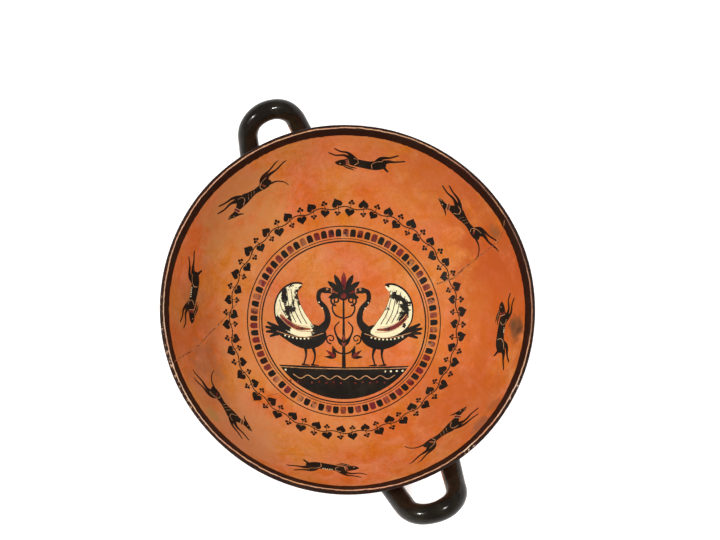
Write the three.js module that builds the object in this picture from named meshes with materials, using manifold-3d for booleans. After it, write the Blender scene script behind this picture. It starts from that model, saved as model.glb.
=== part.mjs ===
// A wide two-handled drinking cup (kylix) of fired clay: a deep open bowl on a short hollow
// stem and a broad foot, with two upturned loop handles. The potter joined all of it before
// the firing, so the cup is one closed solid.
//
// Millimetres, +Z up. The origin is the centre of the foot's underside, and the handles lie
// along X.

import * as THREE from 'three';
import { mergeVertices } from 'three/addons/utils/BufferGeometryUtils.js';
import Module from 'manifold-3d';

// Whole cup
const CUP_HEIGHT = 136;
const RIM_RADIUS = 152.5;

// Bowl
const BOWL_DEPTH = 88;
const LIP_THICKNESS = 4.8;
const FLOOR_THICKNESS = 8;
const THICKENING_POWER = 2; // how late, on the way in from the lip, the wall thickens
const LIP_SLOPE_DEG = 71; // steepness of the inner wall where it meets the lip
const FLOOR_FULLNESS = 0.59; // share of the radius over which the floor stays nearly level
const WALL_FULLNESS = 0.57; // share of the depth over which the wall keeps the lip's slope

// Stem and foot
const FOOT_RADIUS = 63;
const FOOT_EDGE_HEIGHT = 9;
const FOOT_EDGE_LEAN = 0.6; // how far the edge draws in towards its top
const FOOT_ROUNDING = 3.2;
const RESTING_RING_WIDTH = 9.5;
const STEM_RADIUS = 24.5;
const STEM_HEIGHT = 33; // underside of the raised ring between stem and bowl
const COLLAR_RADIUS = 2.8; // radius of that ring's round section
const COLLAR_REACH = 1.2; // how far the centre of the section lies outside the stem
const FLARE_KNEE = [38, 16]; // radius and height that the foot's upper face is drawn towards
const STEM_KNEE = [26, 19]; // the same for the stem's foot
const STEM_STRAIGHT = 3; // upright length just under the raised ring
const HOLLOW_HEIGHT = 31; // top of the hollow under the foot
const HOLLOW_ROUNDING = 9; // how far its top stays nearly level
const HOLLOW_KNEE = [16, 9]; // where its steep upper part turns into a low cone

// Handles
const ROD_RADIUS = 8.55;
const TIP_REACH = 180; // from the cup's axis to the middle of the rod at the tip
const TIP_HEIGHT = 123;
const TIP_SLOPE_DEG = 54.5; // how steeply the loop rises at its tip
const UPTURN_DEG = 50; // how much less steeply it leaves the bowl
const UPTURN_LENGTH = 55; // length along which it turns up
const LOOP_RADIUS = 22.2; // of the rod's middle line round the tip
const LEG_SPREAD_DEG = 10; // how far each leg leans out towards the bowl
const LEG_LENGTH = 53; // from the round tip into the wall
const ROOT_DEPTH = 10; // how much of each leg the wall hides
const ROOT_SWELL = 0.3; // share by which the rod is thicker where it joins the bowl
const ROOT_SWELL_REACH = 9;
// Both handles were set on by eye: where each stands round the bowl, and how it is twisted.
const HANDLE_SETTINGS = [
  { aroundDeg: 0.8, twistDeg: -2.6 },
  { aroundDeg: 179.2, twistDeg: -1.6 },
];

// Fineness of the facets
const SIDES_ROUND = 64;
const BOWL_STEPS = 13;
const WALL_STEPS = 12;
const LIP_FACETS_DEG = [0, 45, 90, 135]; // round the lip's section, from outside over the top
const CURVE_STEPS = 4; // for each short curve of the foot
const ROD_SIDES = 14;
const ROD_STEPS = 28;
const JOIN_GAP = 1; // least distance from the raised ring to the wall's first point
const MERGE_DISTANCE = 1e-3;

const rad = THREE.MathUtils.degToRad;
const wasm = await Module();
wasm.setup();

// The bowl's inner line, from the middle of the floor up to the lip. It is given as radius
// and height.
const lipRadius = LIP_THICKNESS / 2;
const lipCentre = new THREE.Vector2(RIM_RADIUS - lipRadius, CUP_HEIGHT - lipRadius);
const lipAngle = rad(LIP_SLOPE_DEG);
const floorHeight = CUP_HEIGHT - BOWL_DEPTH;

function makeBowlLine() {
  const end = lipCentre.clone().add(
    new THREE.Vector2(-Math.sin(lipAngle), Math.cos(lipAngle)).multiplyScalar(lipRadius),
  );
  const down = new THREE.Vector2(-Math.cos(lipAngle), -Math.sin(lipAngle));
  return new THREE.CubicBezierCurve(
    new THREE.Vector2(0, floorHeight),
    new THREE.Vector2(end.x * FLOOR_FULLNESS, floorHeight),
    end.clone().addScaledVector(down, BOWL_DEPTH * WALL_FULLNESS),
    end,
  );
}

const bowlLine = makeBowlLine();

// A point in the wall: share of the bowl's line from the floor's middle to the lip, and
// share of the wall's thickness from its inner face to its outer one.
function wallPoint(along, through) {
  const inward = (1 - along) ** THICKENING_POWER;
  const thickness = LIP_THICKNESS + (FLOOR_THICKNESS - LIP_THICKNESS) * inward;
  const tangent = bowlLine.getTangentAt(along);
  const outward = new THREE.Vector2(tangent.y, -tangent.x);
  return bowlLine.getPointAt(along).addScaledVector(outward, thickness * through);
}

function wallLine(steps, through) {
  return Array.from({ length: steps + 1 }, (_, i) => wallPoint(i / steps, through));
}

// Foot, stem and collar, from the top of the hollow out over the foot's edge and up.
function makeFootLine() {
  const restingOuter = FOOT_RADIUS - FOOT_ROUNDING;
  const edgeTop = FOOT_RADIUS - FOOT_EDGE_LEAN;
  const shoulder = FOOT_EDGE_HEIGHT + FOOT_ROUNDING;
  const collarCentre = STEM_HEIGHT + COLLAR_RADIUS;
  const line = new THREE.Path();
  line.moveTo(0, HOLLOW_HEIGHT);
  line.bezierCurveTo(
    HOLLOW_ROUNDING, HOLLOW_HEIGHT, ...HOLLOW_KNEE, restingOuter - RESTING_RING_WIDTH, 0,
  );
  line.lineTo(restingOuter, 0);
  line.quadraticCurveTo(FOOT_RADIUS, 0, FOOT_RADIUS, FOOT_ROUNDING);
  line.lineTo(edgeTop, FOOT_EDGE_HEIGHT);
  line.quadraticCurveTo(edgeTop, shoulder, edgeTop - FOOT_ROUNDING, shoulder);
  line.bezierCurveTo(...FLARE_KNEE, ...STEM_KNEE, STEM_RADIUS, STEM_HEIGHT - STEM_STRAIGHT);
  line.lineTo(STEM_RADIUS, STEM_HEIGHT);
  line.lineTo(STEM_RADIUS + COLLAR_REACH, STEM_HEIGHT);
  line.absarc(
    STEM_RADIUS + COLLAR_REACH, collarCentre, COLLAR_RADIUS, -Math.PI / 2, Math.PI / 2, false,
  );
  return line.getPoints(CURVE_STEPS);
}

function makeLipLine() {
  return LIP_FACETS_DEG.map((turn) => (
    new THREE.Vector2(lipRadius, 0).rotateAround(new THREE.Vector2(), rad(turn)).add(lipCentre)
  ));
}

// Turns a line of radius and height round the upright axis.
function turnRound(line) {
  return new THREE.LatheGeometry(line, SIDES_ROUND).rotateX(Math.PI / 2);
}

function makeBody() {
  const foot = makeFootLine();
  const join = foot.at(-1);
  const outside = wallLine(WALL_STEPS, 1).filter((point) => point.x > join.x + JOIN_GAP);
  const inside = wallLine(BOWL_STEPS, 0).reverse();
  return turnRound([...foot, ...outside, ...makeLipLine(), ...inside]);
}

// The bowl's space and half of its wall, which the rods of the handles must not enter.
function makeBowlPlug() {
  const line = wallLine(BOWL_STEPS, 0.5);
  const over = CUP_HEIGHT + ROD_RADIUS;
  return turnRound([...line, new THREE.Vector2(line.at(-1).x, over), new THREE.Vector2(0, over)]);
}

// The middle line of one handle: a round tip and two straight legs, laid out flat and then
// rolled upwards. It is given with the tip on the X axis.
class HandleLine extends THREE.Curve {
  constructor() {
    super();
    this.tipTurn = Math.PI / 2 - rad(LEG_SPREAD_DEG);
    this.tipLength = LOOP_RADIUS * this.tipTurn;
  }

  // The place on the flat loop: how far in from the tip, and how far to one side.
  flatPlace(run) {
    const turn = Math.min(run, this.tipLength) / LOOP_RADIUS;
    const onLeg = Math.max(run - this.tipLength, 0);
    return {
      inward: LOOP_RADIUS * (1 - Math.cos(turn)) + onLeg * Math.sin(turn),
      aside: LOOP_RADIUS * Math.sin(turn) + onLeg * Math.cos(turn),
    };
  }

  getPoint(t, target = new THREE.Vector3()) {
    const run = (2 * t - 1) * (this.tipLength + LEG_LENGTH);
    const { inward, aside } = this.flatPlace(Math.abs(run));
    const steepest = rad(TIP_SLOPE_DEG);
    const bend = rad(UPTURN_DEG) / UPTURN_LENGTH;
    const slope = steepest - bend * inward;
    return target.set(
      TIP_REACH - (Math.sin(steepest) - Math.sin(slope)) / bend,
      aside * Math.sign(run),
      TIP_HEIGHT - (Math.cos(slope) - Math.cos(steepest)) / bend,
    );
  }
}

// Widens the rod towards both its ends, where wet clay was smoothed onto the bowl.
function swellRoots(geometry, line) {
  const stations = line.getSpacedPoints(ROD_STEPS);
  const stride = line.getLength() / ROD_STEPS;
  const position = geometry.attributes.position;
  const point = new THREE.Vector3();
  for (let i = 0; i < position.count; i += 1) {
    point.fromBufferAttribute(position, i);
    const distances = stations.map((station) => station.distanceTo(point));
    const nearest = distances.indexOf(Math.min(...distances));
    const fromEnd = Math.min(nearest, ROD_STEPS - nearest) * stride;
    const fromWall = Math.max(fromEnd - ROOT_DEPTH, 0);
    const swell = 1 + ROOT_SWELL * Math.exp(-fromWall / ROOT_SWELL_REACH);
    point.sub(stations[nearest]).multiplyScalar(swell).add(stations[nearest]);
    position.setXYZ(i, point.x, point.y, point.z);
  }
}

function makeHandle({ aroundDeg, twistDeg }) {
  const line = new HandleLine();
  const section = new THREE.Shape();
  section.absarc(0, 0, ROD_RADIUS, 0, 2 * Math.PI, false);
  const geometry = new THREE.ExtrudeGeometry(section, {
    steps: ROD_STEPS,
    curveSegments: ROD_SIDES / 2,
    extrudePath: line,
  });
  swellRoots(geometry, line);
  geometry.translate(-TIP_REACH, 0, 0);
  geometry.rotateZ(rad(twistDeg));
  geometry.translate(TIP_REACH, 0, 0);
  return geometry.rotateZ(rad(aroundDeg));
}

function toSolid(geometry) {
  const bare = geometry.clone();
  bare.deleteAttribute('normal');
  bare.deleteAttribute('uv');
  const merged = mergeVertices(bare, MERGE_DISTANCE);
  const corners = Array.from(merged.index.array);
  const triangles = [];
  for (let i = 0; i < corners.length; i += 3) {
    const [a, b, c] = corners.slice(i, i + 3);
    if (a !== b && b !== c && c !== a) triangles.push(a, b, c);
  }
  return new wasm.Manifold(new wasm.Mesh({
    numProp: 3,
    vertProperties: new Float32Array(merged.attributes.position.array),
    triVerts: new Uint32Array(triangles),
  }));
}

function toGeometry(solid) {
  const { vertProperties, triVerts } = solid.getMesh();
  const geometry = new THREE.BufferGeometry();
  geometry.setAttribute('position', new THREE.BufferAttribute(vertProperties, 3));
  geometry.setIndex(new THREE.BufferAttribute(triVerts, 1));
  geometry.computeVertexNormals();
  return geometry;
}

function makeCup() {
  const plug = toSolid(makeBowlPlug());
  const solid = HANDLE_SETTINGS.reduce(
    (cup, setting) => cup.add(toSolid(makeHandle(setting)).subtract(plug)),
    toSolid(makeBody()),
  );
  const glossyClay = new THREE.MeshStandardMaterial({
    color: 0xc4703c,
    roughness: 0.45,
    metalness: 0,
  });
  const mesh = new THREE.Mesh(toGeometry(solid), glossyClay);
  mesh.name = 'kylix';
  return mesh;
}

const group = new THREE.Group();
group.add(makeCup());

export default group;
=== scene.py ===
"""A black-figure drinking cup (kylix): the fired clay, its glossy painting and its wear.

The cup is one closed mesh. Its bowl, lip, stem and foot are turned round the upright axis from
one outline, and its two handles are rods that spread onto the wall. The painting is cut into
the mesh: every figure is an outline in the painter's plane, which is then rolled onto the bowl.
"""
import math
from itertools import chain

import bpy
import numpy as np
from bpy.props import FloatProperty, FloatVectorProperty, IntProperty, PointerProperty
from mathutils import Matrix, Vector
from mathutils.geometry import delaunay_2d_cdt


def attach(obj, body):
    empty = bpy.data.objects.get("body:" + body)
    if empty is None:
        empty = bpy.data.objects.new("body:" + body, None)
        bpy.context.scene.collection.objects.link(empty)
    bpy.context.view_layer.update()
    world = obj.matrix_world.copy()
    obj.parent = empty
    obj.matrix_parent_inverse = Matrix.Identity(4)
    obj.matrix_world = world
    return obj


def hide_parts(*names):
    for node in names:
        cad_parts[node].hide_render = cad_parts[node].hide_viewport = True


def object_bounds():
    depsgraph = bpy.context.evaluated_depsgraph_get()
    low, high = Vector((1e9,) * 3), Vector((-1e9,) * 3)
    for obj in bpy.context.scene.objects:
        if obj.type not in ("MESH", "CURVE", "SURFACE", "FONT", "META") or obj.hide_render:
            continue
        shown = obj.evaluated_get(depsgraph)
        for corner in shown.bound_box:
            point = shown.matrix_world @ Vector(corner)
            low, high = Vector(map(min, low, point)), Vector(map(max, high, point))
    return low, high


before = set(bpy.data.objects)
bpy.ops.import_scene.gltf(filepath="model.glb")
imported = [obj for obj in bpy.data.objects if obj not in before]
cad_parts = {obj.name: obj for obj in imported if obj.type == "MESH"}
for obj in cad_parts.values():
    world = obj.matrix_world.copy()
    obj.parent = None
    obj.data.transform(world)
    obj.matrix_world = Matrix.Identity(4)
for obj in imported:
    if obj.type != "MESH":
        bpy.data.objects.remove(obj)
CAD_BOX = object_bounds()

bl_info = {
    "name": "Black-figure drinking cup",
    "version": (1, 0, 0),
    "blender": (4, 5, 0),
    "location": "3D View > Sidebar > Kylix",
    "description": "Builds a painted two-handled cup and a plain stage for it",
    "category": "Mesh",
}

MM = 0.001

# The looks of a face, in the order of the cup's material slots.
GROUND, LIP, OUTSIDE, FOOT, ROD, BLACK, WHITE, PURPLE, SCRATCHED, MENDED = range(10)


# ---------------------------------------------------------------------------------------------
# Lines and outlines


def full_turn(count):
    """Angles spread evenly round a whole turn, in radians."""
    return np.linspace(0, 2 * math.pi, count, endpoint=False)


def polar(far, turn):
    """Points of a plane, from their distances to the origin and their turns about it."""
    return np.column_stack([far * np.cos(turn), far * np.sin(turn)])


def cubic(t, a, b, c, d):
    """A cubic curve at the shares t: its four corners weighted by the cubic Bernstein terms."""
    return (1 - t) ** 3 * a + 3 * (1 - t) ** 2 * t * b + 3 * (1 - t) * t**2 * c + t**3 * d


def bezier(corners, count):
    """Points of a cubic curve at even shares, from its four corners."""
    return cubic(np.linspace(0, 1, count)[:, None], *np.asarray(corners, float))


def run_along(line):
    """The distance run along a line at each of its points."""
    return np.concatenate([[0], np.cumsum(np.hypot(*np.diff(line, axis=0).T))])


def evenly(line, count):
    """The same line with its points at equal distances along it."""
    run = run_along(line)
    place = np.linspace(0, run[-1], count)
    return np.column_stack([np.interp(place, run, line[:, k]) for k in range(2)])


def through(points, closed=False, per_span=7):
    """A smooth line through points: each span is a cubic that leaves every point along the chord
    between its two neighbours (Catmull-Rom)."""
    p = np.asarray(points, float)
    if closed:
        before, start, end, after = np.roll(p, 1, 0), p, np.roll(p, -1, 0), np.roll(p, -2, 0)
    else:
        padded = np.vstack([2 * p[0] - p[1], p, 2 * p[-1] - p[-2]])
        before, start, end, after = padded[:-3], padded[1:-2], padded[2:-1], padded[3:]
    t = np.linspace(0, 1, per_span, endpoint=False)[None, :, None]
    lean_start, lean_end = (end - before)[:, None] / 2, (after - start)[:, None] / 2
    line = (
        (2 * t**3 - 3 * t**2 + 1) * start[:, None]
        + (t**3 - 2 * t**2 + t) * lean_start
        + (3 * t**2 - 2 * t**3) * end[:, None]
        + (t**3 - t**2) * lean_end
    ).reshape(-1, 2)
    return line if closed else np.vstack([line, p[-1]])


def normals_of(line):
    """The unit vector to the left of a line at each of its points."""
    way = np.gradient(line, axis=0)
    way /= np.maximum(np.hypot(*way.T), 1e-12)[:, None]
    return np.column_stack([-way[:, 1], way[:, 0]])


def stroke(points, widths, per_span=6):
    """A brush stroke: a smooth line through points, as wide at each point as widths says, with
    a half-round start and end."""
    line = through(points, per_span=per_span)
    share = np.linspace(0, 1, len(line))
    half = np.interp(share, np.linspace(0, 1, len(widths)), widths) / 2
    side = normals_of(line)
    cap = np.linspace(0, math.pi, 5)[1:-1, None]
    ends = []
    for k, way in ((-1, 1), (0, -1)):
        ahead = way * np.array([side[k, 1], -side[k, 0]])
        ends.append(line[k] + half[k] * (way * np.cos(cap) * side[k] + np.sin(cap) * ahead))
    left, right = line + side * half[:, None], line - side * half[:, None]
    return np.vstack([left, ends[0], right[::-1], ends[1]])


def disc(x, y, radius, count=14):
    """A round spot."""
    return polar(radius, full_turn(count)) + (x, y)


def petal(length, width, fullness=0.75, count=9):
    """A petal that stands on the origin: half its width is a sine of its height to a power, so
    that it is widest towards its tip."""
    t = np.linspace(0, 1, count)
    half = width / 2 * np.sin(math.pi * t ** (1 / fullness)) ** 0.8
    right = np.column_stack([half, length * t])
    return np.vstack([right, right[-2:0:-1] * [-1, 1]])


def heart(size, count=26):
    """An ivy leaf that hangs from the origin by its notch and points up."""
    t = full_turn(count)
    x = 16 * np.sin(t) ** 3
    y = 13 * np.cos(t) - 5 * np.cos(2 * t) - 2 * np.cos(3 * t) - np.cos(4 * t)
    return np.column_stack([x, 5 - y]) * size / 34


def turned(outline, degrees, at=(0, 0), scale=1.0, mirror=False):
    """An outline flipped over if mirror is set, scaled, turned about the origin and moved."""
    angle = math.radians(degrees)
    across = -scale if mirror else scale
    c, s = math.cos(angle), math.sin(angle)
    flat = np.asarray(outline, float) * [across, scale]
    return flat @ np.array([[c, s], [-s, c]]) + at


def moved(figures, degrees=0.0, at=(0, 0), scale=1.0, mirror=False):
    """A list of (look, outline) turned and moved as one."""
    return [(look, turned(shape, degrees, at, scale, mirror)) for look, shape in figures]


# ---------------------------------------------------------------------------------------------
# Sizes and colours that a user would change


def tone(red, green, blue):
    """A colour of 0 to 255 a channel, as shaders take it."""
    share = np.array([red, green, blue]) / 255
    low = share / 12.92
    high = ((share + 0.055) / 1.055) ** 2.4
    return tuple(float(v) for v in np.where(share <= 0.04045, low, high))


def size(name, description, default):
    """A length property, given in millimetres and held in metres."""
    return FloatProperty(
        name=name, description=description, default=default * MM, min=0.0, unit="LENGTH"
    )


def count(name, description, default):
    """A whole number of like ornaments."""
    return IntProperty(name=name, description=description, default=default, min=1)


def angle(name, description, default):
    """An angle property, given in degrees and held in radians."""
    return FloatProperty(
        name=name, description=description, default=math.radians(default), subtype="ANGLE"
    )


def colour(name, description, default):
    """A colour property, given as 0 to 255 a channel."""
    return FloatVectorProperty(
        name=name, description=description, default=tone(*default), subtype="COLOR",
        size=3, min=0.0, max=1.0,
    )


class KylixShape(bpy.types.PropertyGroup):
    """Sizes of the potted form. They repeat the solid's own."""

    height: size("Height", "From the foot's underside to the lip", 136)
    rim_radius: size("Rim radius", "From the axis to the outside of the lip", 152.5)
    bowl_depth: size("Bowl depth", "From the lip down to the floor of the bowl", 88)
    lip_thickness: size("Lip thickness", "Thickness of the wall at the lip", 4.8)
    floor_thickness: size("Floor thickness", "Thickness of the wall at the stem", 8)
    foot_radius: size("Foot radius", "From the axis to the foot's edge", 63)
    stem_radius: size("Stem radius", "Radius of the stem at its narrowest", 24.5)
    rod_radius: size("Handle thickness", "Radius of the handles' round rod", 8.55)
    handle_reach: size("Handle reach", "From the axis to the rod's middle at the tip", 180)
    handle_height: size("Handle height", "Height of the rod's middle at the tip", 123)
    loop_radius: size("Loop radius", "Radius of the rod's middle line round the tip", 22.2)
    unevenness: size("Unevenness", "How far the hand-made form strays from true", 0.2)


class KylixPainting(bpy.types.PropertyGroup):
    """Sizes, numbers and colours of the painted decoration."""

    band_start: size("Band start", "Radius at which the black band inside the lip begins", 145.2)
    medallion_radius: size("Medallion radius", "Radius of the picture in the bowl's middle", 70)
    medallion_turn: angle("Medallion turn", "Turn of the picture about the axis", 67)
    tongues: count("Tongues", "Tongues in the ring round the picture", 76)
    wreath_radius: size("Wreath radius", "Radius of the ivy wreath's stem", 97)
    wreath_leaves: count("Wreath leaves", "Leaves on each side of the ivy wreath", 28)
    chase_radius: size("Chase radius", "Radius at which the animals' feet stand", 135)
    chase_pairs: count("Chase pairs", "Pairs of hound and hare round the bowl", 4)
    rays: count("Rays", "Rays on the bowl's underside", 24)
    ground: colour("Ground", "Coral-red slip inside the bowl", (206, 115, 56))
    clay: colour("Clay", "Bare fired clay", (198, 120, 74))
    gloss: colour("Gloss", "Black gloss where it is thick", (25, 19, 14))
    thin_gloss: colour("Thin gloss", "Black gloss where the brush ran dry", (66, 27, 14))
    white: colour("Added white", "Thick white paint on the black", (243, 238, 196))
    purple: colour("Added red", "Purple-red paint on the black", (112, 38, 34))


class KylixStage(bpy.types.PropertyGroup):
    """The floor, the lamps and the camera."""

    lens: FloatProperty(name="Lens", description="Focal length", default=77.18, unit="CAMERA")
    distance: size("Distance", "From the camera to the middle of the rim", 1250)
    azimuth: angle("Azimuth", "Turn of the camera round the cup", 50.95)
    elevation: angle("Elevation", "How steeply the camera looks down", 77.63)
    roll: angle("Roll", "Turn of the camera about its own axis", 16.40)
    aim_right: FloatProperty(
        name="Aim right", description="How far right of the middle the rim stands",
        default=-8.87 * MM, unit="LENGTH",
    )
    aim_up: FloatProperty(
        name="Aim up", description="How far above the middle the rim stands",
        default=-27.86 * MM, unit="LENGTH",
    )
    floor: colour("Floor", "Pale floor", (247, 247, 246))
    daylight: FloatProperty(name="Daylight", description="Even light from all round", default=0.28)
    lamp: FloatProperty(name="Lamps", description="Power of each soft lamp, in watts", default=15.4)


# ---------------------------------------------------------------------------------------------
# The potted form, in millimetres

# How far the floor's and the wall's curve hold their first direction, as shares of the rim's
# radius and of the depth; the wall's slope at the lip; the power by which it thickens; how many
# points its lines have.
FLOOR_FULLNESS = 0.59
WALL_FULLNESS = 0.57
LIP_SLOPE = math.radians(71)
THICKENING_POWER = 2
LINE_POINTS = 4000


def form_sizes(shape):
    """The form's sizes in millimetres, by name."""
    return {name: getattr(shape, name) / MM for name in shape.__annotations__}


class Wall:
    """One face of the bowl's wall, turned round the axis, and the flat plane it is painted in.

    A step ds along the wall at the radius r covers r·dR/ds in the plane of radius R, so nothing
    drawn there is stretched, only made smaller or larger. A point of the plane keeps its turn
    about the axis. R starts equal to r.
    """

    def __init__(self, line, facing):
        self.line = line
        self.facing = facing
        r, step = line[:, 0], np.hypot(*np.diff(line, axis=0).T)
        self.run = np.concatenate([[0], np.cumsum(step)])
        growth = (step - np.diff(r)) / ((r[1:] + r[:-1]) / 2)
        self.plane = r * np.exp(np.concatenate([[0], np.cumsum(growth)]))
        self.normal = facing * normals_of(line)

    def flat(self, r):
        """The radius in the plane of the wall's ring of radius r."""
        return np.interp(r, self.line[:, 0], self.plane)

    def radius_at(self, z):
        """The wall's radius at a height."""
        return np.interp(z, self.line[:, 1], self.line[:, 0])

    def place(self, points):
        """Plane points on the wall: (positions, normals, distances run along the wall)."""
        out = np.hypot(*points.T)
        way = points / np.maximum(out, 1e-9)[:, None]
        r, z, run, across, up = (
            np.interp(out, self.plane, column)
            for column in (*self.line.T, self.run, *self.normal.T)
        )
        return (
            np.column_stack([way * r[:, None], z]),
            np.column_stack([way * across[:, None], up]),
            run,
        )


def bowl_lines(form):
    """The inner and outer lines of the wall and the lip's centre, as radius and height.

    The inner line is a cubic curve from the floor's middle to the lip. The outer one lies off
    it by the wall's thickness, which grows towards the stem with the square of the way left.
    """
    half = form["lip_thickness"] / 2
    centre = np.array([form["rim_radius"] - half, form["height"] - half])
    end = centre + half * np.array([-math.sin(LIP_SLOPE), math.cos(LIP_SLOPE)])
    down = np.array([-math.cos(LIP_SLOPE), -math.sin(LIP_SLOPE)])
    floor = form["height"] - form["bowl_depth"]
    knee = end + down * form["bowl_depth"] * WALL_FULLNESS
    corners = [(0, floor), (end[0] * FLOOR_FULLNESS, floor), knee, end]
    inner = evenly(bezier(corners, LINE_POINTS), LINE_POINTS)
    left = np.linspace(1, 0, LINE_POINTS)[:, None] ** THICKENING_POWER
    thickness = form["lip_thickness"] + (form["floor_thickness"] - form["lip_thickness"]) * left
    return inner, inner - thickness * normals_of(inner), centre


# The foot and the stem, from the ring it stands on over its edge and the raised ring upwards,
# then its hollow. A knee is a corner that a curve bends towards, as radius and height.
RESTING_RING = 9.5
FOOT_ROUNDING = 3.2
FOOT_EDGE = 9.0
FOOT_LEAN = 0.6
COLLAR_RADIUS = 2.8
COLLAR_REACH = 1.2
STEM_TOP = 33.0
STEM_STRAIGHT = 3.0
FLARE_KNEE, STEM_KNEE = (38, 16), (26, 19)
HOLLOW_TOP = 31.0
HOLLOW_ROUNDING = 9
HOLLOW_KNEE = (16, 9)


def foot_line(form):
    """The foot and stem as (name, line of radius and height) from the hollow's top over the
    foot's edge up to the joint with the bowl."""
    foot, stem = form["foot_radius"], form["stem_radius"]
    flat_end, top = foot - FOOT_ROUNDING, foot - FOOT_LEAN
    shoulder = FOOT_EDGE + FOOT_ROUNDING
    collar = (stem + COLLAR_REACH, STEM_TOP + COLLAR_RADIUS)
    turn = np.linspace(-math.pi / 2, math.pi / 2, 11)
    ring = polar(COLLAR_RADIUS, turn) + collar

    def corner(start, knee, end):
        start, knee, end = (np.asarray(p, float) for p in (start, knee, end))
        return bezier([start, start + (knee - start) * 2 / 3, end + (knee - end) * 2 / 3, end], 5)

    hollow = bezier(
        [(0, HOLLOW_TOP), (HOLLOW_ROUNDING, HOLLOW_TOP), HOLLOW_KNEE, (flat_end - RESTING_RING, 0)], 22
    )
    flare = bezier(
        [(top - FOOT_ROUNDING, shoulder), FLARE_KNEE, STEM_KNEE, (stem, STEM_TOP - STEM_STRAIGHT)], 20
    )
    return [
        ("under", np.vstack([evenly(hollow, 22), [(flat_end - RESTING_RING / 2, 0)]])),
        ("edge", np.vstack([
            corner((flat_end, 0), (foot, 0), (foot, FOOT_ROUNDING)),
            [(foot - FOOT_LEAN / 2, (FOOT_ROUNDING + FOOT_EDGE) / 2)],
            corner((top, FOOT_EDGE), (top, shoulder), (top - FOOT_ROUNDING, shoulder)),
        ])),
        ("stem", np.vstack([
            evenly(flare, 20)[1:],
            [(stem, STEM_TOP - 0.2), (stem + COLLAR_REACH / 2, STEM_TOP)],
        ])),
        ("collar", ring),
    ]


# The handles: slope at the tip, how much of it is lost over what length, turn of the round tip,
# length of the legs, and how much the rod thickens towards the wall, and from how near.
TIP_SLOPE = math.radians(54.5)
UPTURN = math.radians(50)
UPTURN_LENGTH = 55.0
TIP_TURN = math.radians(80)
LEG_LENGTH = 53.0
ROOT_SWELL = 0.3
ROOT_SWELL_REACH = 9.0
# Each handle was set on by eye: how far it stands round the bowl, and how it is twisted.
HANDLE_SETTINGS = [(0.8, -2.6), (179.2, -1.6)]


class Rod:
    """The middle line of one handle: a round tip and two straight legs laid out flat, which are
    then rolled upwards, so that the slope lessens evenly on the way to the bowl."""

    def __init__(self, form, around, twist):
        self.form = form
        self.around, self.twist = math.radians(around), math.radians(twist)

    def settle(self, vectors, is_place):
        """Twists a place about the tip and turns it round the cup; a direction only turns."""
        tip = np.array([self.form["handle_reach"], 0, 0]) * is_place
        for by, pivot in ((self.twist, tip), (self.around, 0 * tip)):
            c, s = math.cos(by), math.sin(by)
            vectors = (vectors - pivot) @ np.array([[c, s, 0], [-s, c, 0], [0, 0, 1]]) + pivot
        return vectors

    def at(self, run):
        """(places, directions, outward directions, upward directions) at distances from the
        tip, negative on one side."""
        form = self.form
        loop = form["loop_radius"]
        far = np.abs(run)
        turn = np.minimum(far, TIP_TURN * loop) / loop
        leg = np.maximum(far - TIP_TURN * loop, 0)
        inward = loop * (1 - np.cos(turn)) + leg * np.sin(turn)
        aside = loop * np.sin(turn) + leg * np.cos(turn)
        bend = UPTURN / UPTURN_LENGTH
        slope = TIP_SLOPE - bend * inward
        x = form["handle_reach"] - (math.sin(TIP_SLOPE) - np.sin(slope)) / bend
        z = form["handle_height"] - (np.cos(slope) - math.cos(TIP_SLOPE)) / bend
        side = np.sign(run)
        zero = np.zeros_like(run)
        into = np.column_stack([-np.cos(slope), zero, -np.sin(slope)])
        over = np.column_stack([-np.sin(slope), zero, np.cos(slope)])
        way = into * (side * np.sin(turn))[:, None]
        way[:, 1] += np.cos(turn)
        return (
            self.settle(np.column_stack([x, side * aside, z]), 1),
            self.settle(way, 0),
            self.settle(np.cross(way, over), 0),
            self.settle(over, 0),
        )


# How the finished form strays from true: directions, wave numbers per millimetre and phases.
STRAY_WAYS = np.array([(1, 0.3, 0.4), (-0.4, 1, 0.3), (0.2, -0.3, 1), (0.7, 0.6, -0.4)])
STRAY_WAVES = np.array([
    (0.021, 0.033, 0.012), (-0.037, 0.018, 0.025), (0.052, -0.011, 0.02), (0.03, 0.061, -0.03),
])
STRAY_PHASES = np.array([0.4, 2.1, 4.0, 5.2])
# The straying grows from nothing at the foot's underside to its full amount at this height.
STRAY_HEIGHT = 30


def stray(places, normals, amount):
    """Moves each place by a sum of slow sine waves, least near the foot's underside, and leans
    its normal by the waves' slope."""
    turn = places @ STRAY_WAVES.T + STRAY_PHASES
    scale = amount * np.clip(places[:, 2:] / STRAY_HEIGHT, 0, 1)
    moved_places = places + scale * (np.sin(turn) @ STRAY_WAYS)
    lean = (np.cos(turn) * (normals @ STRAY_WAYS.T)) @ STRAY_WAVES
    leaned = normals - scale * lean
    return moved_places, leaned / np.linalg.norm(leaned, axis=1)[:, None]


def stray_grid(places, normals, amount):
    """The same for a grid of places."""
    moved_places, leaned = stray(places.reshape(-1, 3), normals.reshape(-1, 3), amount)
    return moved_places.reshape(places.shape), leaned.reshape(places.shape)


# ---------------------------------------------------------------------------------------------
# The painted figures. Each is a list of (look, outline) from the lowest layer to the highest,
# in millimetres, standing on y = 0.


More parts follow.
